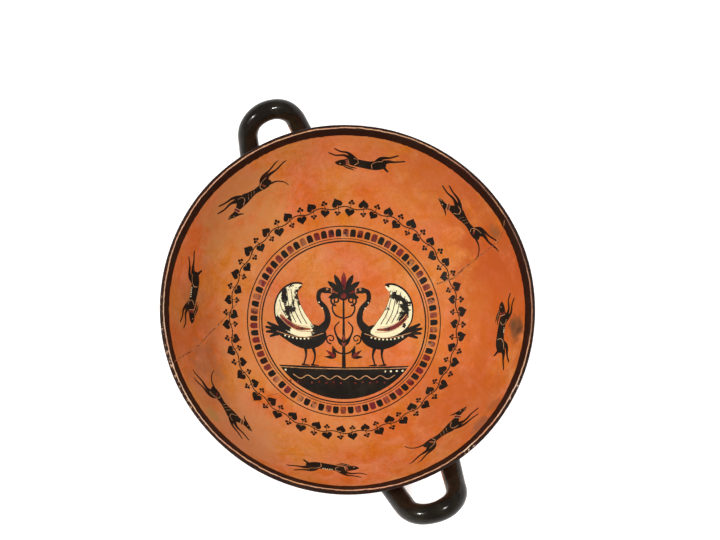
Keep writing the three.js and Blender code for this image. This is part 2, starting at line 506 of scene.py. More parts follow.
def swan():
    """A standing swan that faces +x with one sickle wing raised: the wing white, its shoulder
    purple-red, the feathers scratched in."""
    wing = [(6.5, 28), (2.5, 35), (-3, 43), (-7.5, 52), (-9, 60), (-5.5, 66), (-13, 66.5),
            (-21, 61.5), (-26, 53), (-27, 43), (-24, 34), (-15, 26.5), (-3, 24)]
    wing_line = through(wing, closed=True)
    figures = [
        (BLACK, stroke([(-3, 17), (-2.2, 9), (-4, 1.6)], [3.2, 1.5, 1.3])),
        (BLACK, stroke([(3, 17), (5, 9), (3.4, 1.6)], [3.2, 1.5, 1.3])),
        (BLACK, stroke([(-5, 1.2), (0.4, 0.7)], [1.8, 0.7])),
        (BLACK, stroke([(2.4, 1.2), (8, 0.7)], [1.8, 0.7])),
    ]
    for tip, width in (((-33, 34), 2.2), ((-34.5, 30.4), 2.1), ((-34, 26.5), 2.0), ((-31, 23), 1.8)):
        figures.append((BLACK, stroke([(-20, 28), tip], [5, width])))
    body = [(-27, 30), (-20, 33), (-10, 35.5), (0, 35), (8, 33.5), (13, 30), (14.5, 25),
            (12, 19.5), (6, 15.5), (-2, 14), (-10, 16), (-18, 20.5), (-25, 25.5)]
    neck = [(8, 28), (15, 37), (14, 47), (8.4, 54), (8.6, 61), (14, 63.2)]
    figures += [
        (BLACK, through(body, closed=True)),
        (BLACK, stroke(neck, [8.6, 5.2, 4.2, 3.7, 3.7, 3.8])),
        (BLACK, stroke([(12.5, 62.6), (17.5, 62.2)], [5, 4.2])),
        (PURPLE, stroke([(18.4, 62.2), (23.4, 60.2)], [2.6, 0.7])),
        (SCRATCHED, stroke([(18.2, 64.2), (18.6, 60.4)], [0.55, 0.55])),
        (SCRATCHED, disc(14.8, 63.4, 0.95)),
        (BLACK, disc(14.8, 63.4, 0.42, 8)),
        (BLACK, through((np.array(wing) - (-9, 43)) * 1.07 + (-9, 43), closed=True)),
        (WHITE, wing_line),
        (PURPLE, stroke([(-22.6, 40.6), (-17, 35.2), (-8, 31), (1, 30.6)], [2, 3.2, 3.2, 1.6])),
        (SCRATCHED, stroke([(-22.8, 38.6), (-16.6, 33), (-8, 28.9), (3, 28.6)], [0.6, 0.6])),
        (SCRATCHED, stroke([(-22.4, 42.8), (-17, 37.4), (-8, 33.2), (-1, 32.8)], [0.6, 0.6])),
    ]
    for foot, bend, tip in (
        ((-1.6, 35), (-7, 45), (-11.4, 61.5)),
        ((-6, 35), (-11.4, 46), (-14.6, 62.5)),
        ((-10.4, 36), (-15.4, 46.5), (-18, 60.6)),
        ((-14.6, 38), (-19, 47), (-21.4, 57.6)),
        ((-18.4, 40.6), (-22, 47), (-23.8, 53.4)),
    ):
        figures.append((BLACK, stroke([foot, bend, tip], [0.7, 0.6])))
    for x in np.linspace(-19, 6, 9):
        figures.append((WHITE, disc(x, 22.4 + 0.012 * (x + 6) ** 2, 0.75, 9)))
    figures.append((SCRATCHED, stroke([(-26, 27.6), (-14, 24.6), (0, 24), (11.6, 27.4)], [0.5, 0.5])))
    for x, y in ((13.4, 38.5), (12.9, 43), (10.9, 48), (8.3, 52.6)):
        figures.append((WHITE, disc(x, y, 0.6, 8)))
    return figures


def curl(turns, start, end, width, mirror=False):
    """A spiral tendril: its radius falls evenly from start to end as it turns."""
    t = np.linspace(0, 1, int(10 * turns) + 4)
    way = -math.pi / 2 + 2 * math.pi * turns * t
    radius = start + (end - start) * t
    line = polar(radius, way)
    if mirror:
        line[:, 0] *= -1
    return stroke(line, [width, width * 0.8], per_span=2)


def palmette(petals, length, width, spread):
    """A fan of petals over a heart, with a tendril curled at each side."""
    figures = []
    for way in np.linspace(-spread, spread, petals):
        reach = length * (1 - 0.28 * (way / spread) ** 2)
        look = PURPLE if abs(way) < 1 else BLACK
        figures.append((look, turned(petal(reach, width), way, (0, length * 0.16))))
    figures += [
        (BLACK, disc(0, length * 0.1, length * 0.24, 20)),
        (PURPLE, disc(0, length * 0.08, length * 0.13, 16)),
    ]
    for side in (False, True):
        place = (-length * 0.36 if side else length * 0.36, -length * 0.12)
        figures.append((BLACK, turned(curl(1.3, 0.24, 0.05, 0.09, side), 0, place, length)))
    return figures


def lotus(length):
    """A lotus of three pointed petals."""
    figures = []
    for way, share in ((-34, 0.92), (34, 0.92), (0, 1)):
        outline = through([(0, 0), (0.15, 0.4), (0.05, 0.85), (0, 1), (-0.05, 0.85), (-0.15, 0.4)], True)
        look = PURPLE if way == 0 else BLACK
        figures.append((look, turned(outline, way, (0, 0), length * share)))
    return figures


def tongue(length, half):
    """A tongue that stands on the origin, square at its foot and rounded at its tip."""
    return through([
        (0, 0), (half, 0.2), (half, length * 0.7), (half * 0.7, length * 0.94), (0, length),
        (-half * 0.7, length * 0.94), (-half, length * 0.7), (-half, 0.2),
    ], True, 3)


def medallion(radius):
    """Two swans that face each other over a palmette tree, on a scratched ground line. Below it
    the round field is black, with a row of white dots and a wave over purple-red spots."""
    ground_y = -0.56 * radius
    tree = [
        (BLACK, stroke([(0, 0), (0, 30), (0, 46.5)], [2.6, 1.5, 1.2])),
        *moved(palmette(9, 15, 3.7, 104), 0, (0, 47.5)),
        *moved(lotus(10.5), 0, (0, 14)),
    ]
    for side in (False, True):
        sign = -1 if side else 1
        tree += moved([
            (BLACK, stroke([(0, 17), (4.4, 21), (6, 27), (3, 31)], [1.1, 1.3, 1.1, 0.8])),
            (BLACK, turned(curl(1.2, 3.4, 0.9, 1.0), 0, (8.6, 19.4))),
            (BLACK, stroke([(0.4, 33.5), (5.2, 35.4), (7.6, 40), (6, 44.6)], [0.9, 1.2, 1.1, 0.9])),
            (BLACK, stroke([(0, 9), (4.5, 10.5), (7.5, 14.5)], [1.0, 1.3, 0.6])),
        ], 0, (0, 0), 1.0, side)
        tree += moved(lotus(8.5), -sign * 52, (sign * 5.4, 6.6))
    tree = moved(tree, 0, (0, ground_y), 1.3)
    birds = []
    for side in (False, True):
        place = (30.5 if side else -30.5, ground_y + 0.4)
        birds += moved(swan(), 0, place, 1.08, side)
    # The dark field below the ground line, a part of the round.
    reach = radius - 1.2
    edge = math.asin(-ground_y / reach)
    turn = np.linspace(math.pi + edge, 2 * math.pi - edge, 60)
    field = polar(reach, turn)
    half = reach * math.cos(edge)
    wave_x = np.linspace(-half * 0.78, half * 0.78, 15)
    wave = np.column_stack([wave_x, ground_y - 9.5 + 1.7 * np.cos(np.arange(15) * math.pi)])
    below = [(BLACK, field), (SCRATCHED, stroke([(-half, ground_y - 1.6), (half, ground_y - 1.6)], [0.6]))]
    below += [(WHITE, disc(x, ground_y - 4.2, 0.95, 9)) for x in np.linspace(-half * 0.9, half * 0.9, 21)]
    below.append((SCRATCHED, stroke(wave, [0.7, 0.7], per_span=4)))
    for k, x in enumerate(wave_x[:-1]):
        low = -1.0 if k % 2 == 0 else -1.9
        below.append((PURPLE, disc(x + wave_x[1] / 14, ground_y - 12.6 + low, 0.9, 9)))
    return below + tree + birds


def ivy_leaf(leaf_size):
    """A leaf on a short stalk that leaves the stem at the origin."""
    stalk = stroke([(0, 0), (0.8, leaf_size * 0.2), (0.3, leaf_size * 0.42)], [0.7, 0.8])
    return [(BLACK, stalk), (BLACK, turned(heart(leaf_size), 0, (0.3, leaf_size * 0.3)))]


def berries(reach):
    """Three berries on a thin stalk."""
    spot = reach * 0.2
    return [
        (BLACK, stroke([(0, 0), (-0.4, reach * 0.4), (0, reach * 0.66)], [0.55, 0.55])),
        (BLACK, disc(0, reach, spot, 11)),
        (BLACK, disc(-spot * 1.25, reach * 0.7, spot, 11)),
        (BLACK, disc(spot * 1.25, reach * 0.7, spot, 11)),
    ]


def hound():
    """A running hound that faces +x, with a purple-red collar."""
    body = [(33, 15), (29.5, 17.4), (26, 19.6), (22.5, 20), (18, 17.6), (8, 17.6), (-4, 15.4),
            (-14, 16.6), (-20, 15.4), (-22.5, 11.5), (-19, 8), (-12, 8.6), (-5, 9.6), (2, 8),
            (8, 5.6), (14, 7), (19, 11.4), (24, 14), (30, 13.4)]
    return [
        (BLACK, stroke([(-20, 14), (-28, 15.5), (-34, 20), (-37, 25)], [2.6, 1.5, 1.1, 0.7])),
        (BLACK, stroke([(-15, 12), (-21, 4.5), (-30, 2.6), (-39, -2.6)], [8, 4.4, 2.2, 1.5])),
        (BLACK, stroke([(-14, 11), (-16, 3), (-25, -1), (-32, -6)], [8, 4, 2, 1.5])),
        (BLACK, stroke([(-38.4, -2.4), (-41.5, -3.2)], [1.6, 0.9])),
        (BLACK, stroke([(-31.6, -5.8), (-34.6, -6.8)], [1.6, 0.9])),
        (BLACK, stroke([(10, 11), (20, 4.4), (29, 3.4), (36, 0.4)], [7, 3, 1.9, 1.5])),
        (BLACK, stroke([(9, 10), (16, 1.6), (25, -1.4), (31, -4.6)], [7, 3, 1.9, 1.5])),
        (BLACK, through(body, closed=True)),
        (BLACK, stroke([(24.5, 19), (20, 21.6), (17, 24.6)], [2.4, 1.8, 0.6])),
        (PURPLE, stroke([(19, 18.4), (21.4, 12.4)], [1.5, 1.5])),
        (PURPLE, stroke([(-15, 13.6), (-12.6, 9.8)], [1.7, 1.2])),
        (SCRATCHED, stroke([(17.8, 18), (20.2, 11.9)], [0.5, 0.5])),
        (SCRATCHED, stroke([(20.4, 18.8), (22.7, 13)], [0.5, 0.5])),
        (SCRATCHED, stroke([(12.5, 16.4), (8.4, 12.5), (9.4, 8), (13.4, 6.6)], [0.5, 0.5])),
        (SCRATCHED, stroke([(-11.6, 15.4), (-10.2, 11.6), (-13.4, 7.6), (-19, 5.2)], [0.5, 0.5])),
        (SCRATCHED, stroke([(5, 15.6), (2.6, 10)], [0.26, 0.26])),
        (SCRATCHED, stroke([(1.4, 15), (-0.6, 10.4)], [0.26, 0.26])),
        (SCRATCHED, stroke([(-2, 14.4), (-3.6, 11)], [0.26, 0.26])),
        (SCRATCHED, disc(26.4, 17.6, 0.62, 8)),
        (SCRATCHED, stroke([(33, 14.4), (29, 15)], [0.4, 0.4])),
    ]


def hare():
    """A running hare that faces +x, ears laid back, with a white belly."""
    body = [(27, 10.4), (24, 13.6), (20.4, 14.4), (16.4, 12.6), (8, 14.8), (-4, 16.4), (-14, 15.6),
            (-20.6, 11), (-20, 6.4), (-12, 5.8), (-4, 7.2), (5, 6.4), (12, 4.8), (18, 6.8), (23, 7.8)]
    figures = [
        (BLACK, stroke([(-19, 11), (-24, 14.6)], [3.4, 1.9])),
        (BLACK, stroke([(-13, 10), (-21, 3.6), (-28, 1.4), (-36, -3)], [8, 4.2, 2, 1.5])),
        (BLACK, stroke([(-12, 9), (-15, 1.6), (-23, -2), (-29, -7)], [8, 4, 2, 1.5])),
        (BLACK, stroke([(9, 8), (18, 2.4), (26, 2), (32, -1.4)], [5, 2.6, 1.7, 1.3])),
        (BLACK, stroke([(8, 7.4), (15, -0.4), (22, -2.4), (27, -6)], [5, 2.6, 1.7, 1.3])),
        (BLACK, through(body, closed=True)),
        (BLACK, stroke([(20.5, 13), (14.4, 17), (8.6, 19.2)], [2.2, 2.1, 0.7])),
        (BLACK, stroke([(19.5, 13), (12.6, 15.8), (6, 17)], [2.2, 2.0, 0.7])),
        (PURPLE, stroke([(15.2, 12.4), (16.2, 8.2)], [2.2, 2.2])),
        (SCRATCHED, stroke([(13.6, 13), (14.8, 7)], [0.45, 0.45])),
        (SCRATCHED, stroke([(8.6, 13.4), (5.4, 10.4), (6.4, 6.8), (9.8, 5.4)], [0.5, 0.5])),
        (SCRATCHED, stroke([(-8.4, 14.8), (-7.6, 10.4), (-11.4, 6.6), (-17, 4.6)], [0.5, 0.5])),
        (SCRATCHED, disc(22.4, 12, 0.62, 8)),
        (SCRATCHED, stroke([(19, 14.2), (12, 17)], [0.35, 0.35])),
    ]
    figures += [(WHITE, disc(x, 7.9 + 0.02 * x, 0.62, 8)) for x in np.linspace(-5.6, 2.4, 5)]
    return figures


# ---------------------------------------------------------------------------------------------
# Setting the figures out on the wall


def round_line(radius, waver=0.0, count=360, seed=0, ragged=0.0):
    """A circle in the plane drawn by hand: its radius wavers by slow sine waves, and is ragged
    by random steps."""
    turn = full_turn(count)
    rate, phase = np.array([3, 7, 13, 29]), np.array([0.3, 1.9, 4.4, 2.6]) + seed
    drift = np.sin(turn[:, None] * rate + phase) @ np.array([0.5, 0.3, 0.25, 0.15])
    rough = np.random.default_rng(seed).normal(0, 1, count)
    rough = (rough + np.roll(rough, 1) + np.roll(rough, 2)) / 3
    return polar(radius + waver * drift + ragged * rough, turn)


def on_ring(wall, radius, turn, figures, feet_out=False, scale=1.0, mirror=False):
    """Figures set upright on the ring of a wall's radius. Their height y is taken along the
    wall and their width x round it; the plane then needs no other change, since
    ln R = ln R(ring) ± y/radius and the turn is x/radius."""
    flat = math.log(wall.flat(radius))
    side = -1.0 if feet_out else 1.0
    around = wall.facing if feet_out else -wall.facing
    placed = []
    for look, outline in figures:
        shape = np.asarray(outline, float) * [-scale if mirror else scale, scale]
        far = np.exp(flat + side * shape[:, 1] / radius)
        way = turn + around * shape[:, 0] / radius
        placed.append((look, polar(far, way)))
    return placed


def band(wall, outer, inner, look, ground, waver=0.12, seed=0):
    """A painted ring between two of the wall's radii, with the ground again inside it."""
    return [
        (look, round_line(wall.flat(outer), waver, seed=seed)),
        (ground, round_line(wall.flat(inner), waver, seed=seed + 1)),
    ]


def wave_band(wall, radius, width, height, waves, look, ground):
    """A thin line that runs round in even waves, with the ground inside it."""
    turn = full_turn(waves * 8)
    swing = height * np.sin(waves * turn)
    lines = []
    for part, half in ((look, width / 2), (ground, -width / 2)):
        far = np.interp(radius + swing + half, wall.line[:, 0], wall.plane)
        lines.append((part, polar(far, turn)))
    return lines


# Breaks mended in the past, and a hairline: (radius, degrees round the bowl) of the line's
# points, and its widths along them.
BREAKS = [
    ([(147.6, 96.5), (141.9, 93.0), (126, 91.2), (111.8, 90.1), (101.1, 88.2), (85.9, 88.9)],
     [0.9, 1.0, 0.9, 1.0, 1.8, 1.2]),
    ([(90.7, -122.9), (103, -111.4), (116.6, -104.2), (127.2, -99.4), (139.8, -96.2), (147.6, -94)],
     [0.5, 0.9, 0.9, 0.8, 1.1, 0.9]),
    ([(96.4, -67.8), (90, -66.2), (83.6, -62.9)], [0.3, 0.5, 0.3]),
]
# How far a break's points stray from its line, and by what shares its width comes and goes.
BREAK_STRAY, BREAK_WIDTHS = 0.28, (0.55, 1.3)


def crack(wall, places, widths, seed):
    """A mended break: a thin ragged line through places on the wall."""
    rng = np.random.default_rng(seed)
    r, degrees = np.array(places, float).T
    line = through(polar(wall.flat(r), np.radians(degrees)), per_span=9)
    line[1:-1] += rng.normal(0, BREAK_STRAY, (len(line) - 2, 2))
    half = np.interp(np.linspace(0, 1, len(line)), np.linspace(0, 1, len(widths)), widths) / 2
    half = half * rng.uniform(*BREAK_WIDTHS, len(line))
    side = normals_of(line)
    return [(MENDED, np.vstack([line + side * half[:, None], (line - side * half[:, None])[::-1]]))]


# The band inside the lip: how its edge wavers, how ragged it is, and how many points it has.
BAND_WAVER, BAND_RAGGED, BAND_POINTS = 0.45, 0.4, 900
# The wreath: width and swing of its stem; size and lean of its leaves; reach of its berries; how
# far the leaves' lean, their size and the berries' lean stray.
WREATH_WIDTH, WREATH_SWING = 0.85, 1.1
LEAF_SIZE, LEAF_LEAN, BERRY_REACH = 9.2, 14, 6.2
LEAF_STRAY, LEAF_GROWTH, BERRY_STRAY = 9, (0.92, 1.08), 12
# The chase: how the animals are scaled, where the first one runs as a share of the way to the
# next, and how far they stray from their ring.
BEAST_SCALE, BEAST_START, BEAST_STRAY = 0.95, 0.35, 1.2
# The tongues start and end this far outside the picture, and fill this share of the ring on
# each side of their middles. Each painted ring has its two edges this far outwards from the
# tongues' tips, from their feet and from the picture's edge.
TONGUE_ENDS = (4.2, 10.6)
TONGUE_FULLNESS = 0.36
TIP_RING, TONGUE_FOOT_RING, PICTURE_RING = (2.4, 1.5), (-1.4, -2.0), (0.9, -0.3)


def paint_inside(wall, painting):
    """Everything painted inside the bowl, from the lowest layer to the highest."""
    medallion_radius = painting.medallion_radius / MM
    wreath, chase = painting.wreath_radius / MM, painting.chase_radius / MM
    band_edge = wall.flat(painting.band_start / MM)
    figures = [(GROUND, round_line(band_edge, BAND_WAVER, BAND_POINTS, ragged=BAND_RAGGED))]
    # The ivy wreath.
    leaves = painting.wreath_leaves
    figures += wave_band(wall, wreath, WREATH_WIDTH, WREATH_SWING, leaves, BLACK, GROUND)
    rng = np.random.default_rng(7)
    step = 2 * math.pi / leaves
    for k in range(leaves):
        for outward in (False, True):
            turn = (k + (0.5 if outward else 0.0)) * step
            lean = rng.uniform(-LEAF_STRAY, LEAF_STRAY) + (LEAF_LEAN if outward else -LEAF_LEAN)
            leaf = moved(ivy_leaf(LEAF_SIZE * rng.uniform(*LEAF_GROWTH)), lean)
            figures += on_ring(wall, wreath, turn, leaf, feet_out=not outward)
            fruit = moved(berries(BERRY_REACH), rng.uniform(-BERRY_STRAY, BERRY_STRAY))
            figures += on_ring(wall, wreath, turn + step / 2, fruit, feet_out=not outward)
    # The chase.
    for k in range(2 * painting.chase_pairs):
        turn = (k + BEAST_START) * math.pi / painting.chase_pairs
        beast = hound() if k % 2 == 0 else hare()
        ring = chase + rng.uniform(-BEAST_STRAY, BEAST_STRAY)
        figures += on_ring(wall, ring, turn, beast, feet_out=True, scale=BEAST_SCALE)
    # The rings and tongues round the picture.
    start, end = (medallion_radius + gap for gap in TONGUE_ENDS)
    figures += band(wall, *(end + edge for edge in TIP_RING), BLACK, GROUND, seed=2)
    figures += band(wall, *(start + edge for edge in TONGUE_FOOT_RING), BLACK, GROUND, seed=4)
    outline = tongue(end - start, math.pi * (start + end) / painting.tongues * TONGUE_FULLNESS)
    for k in range(painting.tongues):
        turn = 2 * math.pi * k / painting.tongues
        figures += on_ring(wall, start, turn, [(PURPLE if k % 2 else BLACK, outline)])
    figures += band(wall, *(medallion_radius + edge for edge in PICTURE_RING), BLACK, GROUND, 0.1, 6)
    figures += [
        (look, turned(shape, math.degrees(painting.medallion_turn)))
        for look, shape in medallion(medallion_radius)
    ]
    for seed, (places, widths) in enumerate(BREAKS, 3):
        figures += crack(wall, places, widths, seed)
    return figures


# The outside, by heights on the wall: where the lip's black band ends, the ivy and the
# palmettes beside the handles, the upper and lower edge of each painted ring, the rays' tips.
OUTER_BAND_END = 131.0
OUTER_WREATH, OUTER_PALMETTE = 112.0, 92.0
OUTER_RINGS = [(74.4, 73.7), (72.4, 67.2), (65.9, 65.2)]
RAY_TIP = 60.5
# Leaves of the ivy on one side, the turn of the first, the turn from each to the next, the
# turns at which the stem starts and ends, and how far the palmettes stand from the handles.
OUTER_LEAVES, OUTER_LEAF_START, OUTER_LEAF_STEP = 15, 38, 7.43
OUTER_STEM = (37, 143)
PALMETTE_TURN = 28.5
# Sizes and leans of its leaves and berries, swing and number of waves of its stem, half its
# width, and the palmettes' petals, length, width of a petal and spread.
OUTER_LEAF_SIZE, OUTER_LEAF_LEAN = 8.6, 12
OUTER_BERRY_REACH, OUTER_BERRY_LEAN = 5.6, 8
OUTER_SWING, OUTER_WAVES, OUTER_STEM_HALF = 0.5, 46, 0.55
OUTER_PALMETTE_FORM = (9, 17, 4.6, 100)
# Radii near the stem: the rays' foot, a thin ring's two edges and the black round the stem.
RAY_FOOT, STEM_RING, STEM_BLACK = 37.0, (35.6, 34.8), 32.6
RAY_FULLNESS = 0.74


def paint_outside(wall, painting, hollows):
    """Everything painted on the outside of the bowl, from the lowest layer to the highest. The
    outlines in hollows stay open, for the handles and the stem."""
    figures = [(OUTSIDE, round_line(wall.flat(wall.radius_at(OUTER_BAND_END)), 0.2, seed=1))]
    wreath = wall.radius_at(OUTER_WREATH)
    for side in (0, 1):
        for k in range(OUTER_LEAVES):
            turn = math.radians(OUTER_LEAF_START + OUTER_LEAF_STEP * k + 180 * side)
            up = k % 2 == 0
            leaf = moved(ivy_leaf(OUTER_LEAF_SIZE), -OUTER_LEAF_LEAN if up else OUTER_LEAF_LEAN)
            figures += on_ring(wall, wreath, turn, leaf, feet_out=not up)
            lean = OUTER_BERRY_LEAN if up else -OUTER_BERRY_LEAN
            fruit = moved(berries(OUTER_BERRY_REACH), lean)
            figures += on_ring(wall, wreath, turn, fruit, feet_out=up)
        turns = np.linspace(*(np.radians(OUTER_STEM) + math.pi * side), 90)
        line = polar(wall.flat(wreath + OUTER_SWING * np.sin(turns * OUTER_WAVES)), turns)
        rim = normals_of(line) * OUTER_STEM_HALF
        figures.append((BLACK, np.vstack([line + rim, (line - rim)[::-1]])))
        for beside in (-PALMETTE_TURN, PALMETTE_TURN):
            turn, ring = math.radians(beside + 180 * side), wall.radius_at(OUTER_PALMETTE)
            figures += on_ring(wall, ring, turn, palmette(*OUTER_PALMETTE_FORM))
    for k, (high, low) in enumerate(OUTER_RINGS):
        figures += band(wall, wall.radius_at(high), wall.radius_at(low), BLACK, OUTSIDE, 0.15, k)
    # A ray goes up one side and down the other, and narrows evenly to its tip.
    edge = np.linspace(0, 1, 9)
    rise = np.concatenate([edge, edge[-2::-1]])
    half = np.repeat([1, -1], [len(edge), len(edge) - 1]) * math.pi / painting.rays * RAY_FULLNESS
    far = wall.flat(RAY_FOOT + (wall.radius_at(RAY_TIP) - RAY_FOOT) * rise)
    for k in range(painting.rays):
        way = 2 * math.pi * k / painting.rays + half * (1 - rise)
        figures.append((BLACK, polar(far, way)))
    figures += band(wall, *STEM_RING, BLACK, OUTSIDE, 0.1, 3)
    figures.append((BLACK, round_line(wall.flat(STEM_BLACK), 0.15, seed=5)))
    return figures + [(None, outline) for outline in hollows]


# ---------------------------------------------------------------------------------------------
# The mesh

# Points round the rim, the stem and a rod; rows over the lip and in a fillet; steps between the
# fill points and between a rod's rings; how near two points are before they are one.
RIM_SIDES, STEM_SIDES, ROD_SIDES = 360, 180, 40
LIP_ROWS, FILLET_ROWS = 10, 9
FILL_STEP, ROD_STEP = 3.1, 1.7
MERGE_DISTANCE = 0.01
# How far the fill points keep from the rim and from the stem.
RIM_MARGIN, STEM_MARGIN = 1.5, 0.5
# A handle's root: where on the rod it is looked for and in what steps; how far the rod's last
# ring stays off the wall; how much wider the ring on the wall is; between what distances from
# the last ring, and with how many halvings, its points are found.
ROOT_START, ROOT_STEP, ROOT_GAP, ROOT_SPREAD = 30.0, 0.5, 1.2, 1.16
ROOT_NEAR, ROOT_FAR, HALVINGS = -15.0, 40.0, 40
# A fillet's knees: shares of its length along the rod and along the wall, the latter at most so
# many millimetres.
FILLET_LEAVE, FILLET_ARRIVE, FILLET_ARRIVE_MOST = 0.6, 0.35, 2.6
# How the rod swells and thins along its length, as two sine waves: share of its radius, radians
# per millimetre, and how far apart the two handles' phases are.
ROD_WAVES = ((0.012, 0.13, 2), (0.008, 0.31, 0))


def fill_points(wall, inner, outer, seed):
    """Points spread evenly over a wall between two plane radii, ring by ring."""
    start, end = (np.interp(edge, wall.plane, wall.run) for edge in (inner, outer))
    rings = max(int((end - start) / FILL_STEP), 1)
    rng = np.random.default_rng(seed)
    points = []
    for run in np.linspace(start, end, rings + 1)[1 if inner > 0 else 0:-1]:
        r = np.interp(run, wall.run, wall.line[:, 0])
        far = np.interp(run, wall.run, wall.plane)
        number = max(int(2 * math.pi * r / FILL_STEP), 1)
        turn = 2 * math.pi * (np.arange(number) + rng.uniform()) / number
        points.append(polar(far, turn))
    return np.vstack(points)


def signed_area(outline):
    """The area inside an outline, below zero if it runs clockwise."""
    x, y = np.asarray(outline, float).T
    return float(x @ np.roll(y, -1) - y @ np.roll(x, -1)) / 2


def as_array(lists):
    """A list of lists as one array, and how many came from each."""
    counts = np.fromiter(map(len, lists), int, len(lists))
    return np.fromiter(chain.from_iterable(lists), int, counts.sum()), counts


def divide(figures, loose):
    """Cuts the plane along every outline: (points, triangles, look of each triangle, place of
    each given point). A triangle has the look of the highest figure that covers it; the ones
    that no figure covers, or an open one does, are dropped."""
    outlines = [outline for _, outline in figures]
    shades = np.array([-1 if look is None else look for look, _ in figures])
    ends = np.cumsum([len(outline) for outline in outlines]).tolist()
    faces = [
        list(range(end - len(o), end))[::1 if signed_area(o) > 0 else -1]
        for end, o in zip(ends, outlines)
    ]
    given = list(map(Vector, np.vstack([*outlines, loose]).tolist()))
    out = delaunay_2d_cdt(given, [], faces, 0, MERGE_DISTANCE, True)
    verts, triangles = np.array(out[0]), np.array(out[2])
    owners, counts = as_array(out[5])
    covered = counts > 0
    triangles, starts = triangles[covered], (np.cumsum(counts) - counts)[covered]
    looks = shades[np.maximum.reduceat(owners, starts)]
    triangles, looks = triangles[looks >= 0], looks[looks >= 0]
    sources, counts = as_array(out[3])
    place = np.full(len(given), -1)
    place[sources] = np.repeat(np.arange(len(verts)), counts)
    a, b, c = (verts[triangles[:, k]] for k in range(3))
    area = np.cross(b - a, c - a)
    triangles[area < 0] = triangles[area < 0][:, ::-1]
    return verts, triangles, looks, place


class Skin:
    """The cup's surface while it is put together: shared points, and for each triangle its
    points, its look and, at each corner, a normal and a place in the flat map."""

    def __init__(self):
        self.points, self.count = [], 0
        self.triangles, self.looks, self.normals, self.places = [], [], [], []

    def add_points(self, points):
        """Adds points and gives their numbers."""
        numbers = np.arange(self.count, self.count + len(points))
        self.points.append(points)
        self.count += len(points)
        return numbers

    def add_rows(self, places, first, last):
        """Adds the points of a grid between its two end rows, whose numbers are given. Gives
        the number of every point, those of the last column as in the first."""
        middle = places[1:-1, :-1]
        numbers = np.empty(places.shape[:2], int)
        numbers[1:-1, :-1] = self.add_points(middle.reshape(-1, 3)).reshape(middle.shape[:2])
        numbers[0, :-1], numbers[-1, :-1] = first, last
        numbers[:, -1] = numbers[:, 0]
        return numbers

    def add_faces(self, numbers, triangles, looks, normals, flat):
        """Adds triangles of a part whose own points have these numbers, normals and places."""
        self.triangles.append(numbers[triangles])
        self.looks.append(np.broadcast_to(looks, len(triangles)))
        self.normals.append(normals[triangles])
        self.places.append(flat[triangles])

    def add_grid(self, numbers, normals, flat, looks, flip=False):
        """Adds a grid of points, row by row, as two triangles a cell. Its last column repeats
        the first, so that the flat map can be cut there. looks has one value a row of cells."""
        rows, columns = numbers.shape
        cell = (np.arange(rows - 1)[:, None] * columns + np.arange(columns - 1)).ravel()
        one = np.column_stack([cell, cell + 1, cell + columns + 1])
        two = np.column_stack([cell, cell + columns + 1, cell + columns])
        triangles = np.vstack([one, two])
        if flip:
            triangles = triangles[:, ::-1]
        look = np.tile(np.repeat(looks, columns - 1), 2)
        flat_numbers = numbers.ravel()
        ends = flat_numbers[triangles]
        whole = (ends[:, 0] != ends[:, 1]) & (ends[:, 1] != ends[:, 2]) & (ends[:, 2] != ends[:, 0])
        self.add_faces(
            flat_numbers, triangles[whole], look[whole], normals.reshape(-1, 3), flat.reshape(-1, 2)
        )


# Where each part lies in the flat map: middle and radius of a round one, in shares of the map.
INSIDE_MAP = (0.292, 0.708, 0.284)
OUTSIDE_MAP = (0.788, 0.788, 0.204)
FOOT_MAP = (0.788, 0.375, 0.196)
ROD_MAPS = ((0.02, 0.03), (0.02, 0.21))
ROD_MAP_SIZE = (0.54, 0.16)
INSIDE_REACH, OUTSIDE_REACH, FOOT_REACH = 194.0, 192.0, 132.0


def round_map(turn, run, reach, where):
    """A flat map of a turned part: the distance run along its line becomes the radius."""
    x, y, radius = where
    far = run / reach * radius
    return np.stack([x + far * np.cos(turn), y + far * np.sin(turn)], axis=-1)


def turned_grid(line, sides, left=False):
    """A line of radius and height turned round the axis: (places, normals, turns), with the
    last column on the first. The normals lie to the right of the line, or to the left."""
    turn = np.linspace(0, 2 * math.pi, sides + 1)
    across, up = (normals_of(line) * (1 if left else -1)).T
    c, s = np.cos(turn)[None], np.sin(turn)[None]
    r, z = line[:, :1], line[:, 1:] + 0 * c
    places = np.stack([r * c, r * s, z], axis=-1)
    normals = np.stack([across[:, None] * c, across[:, None] * s, up[:, None] + 0 * c], axis=-1)
    return places, normals, turn


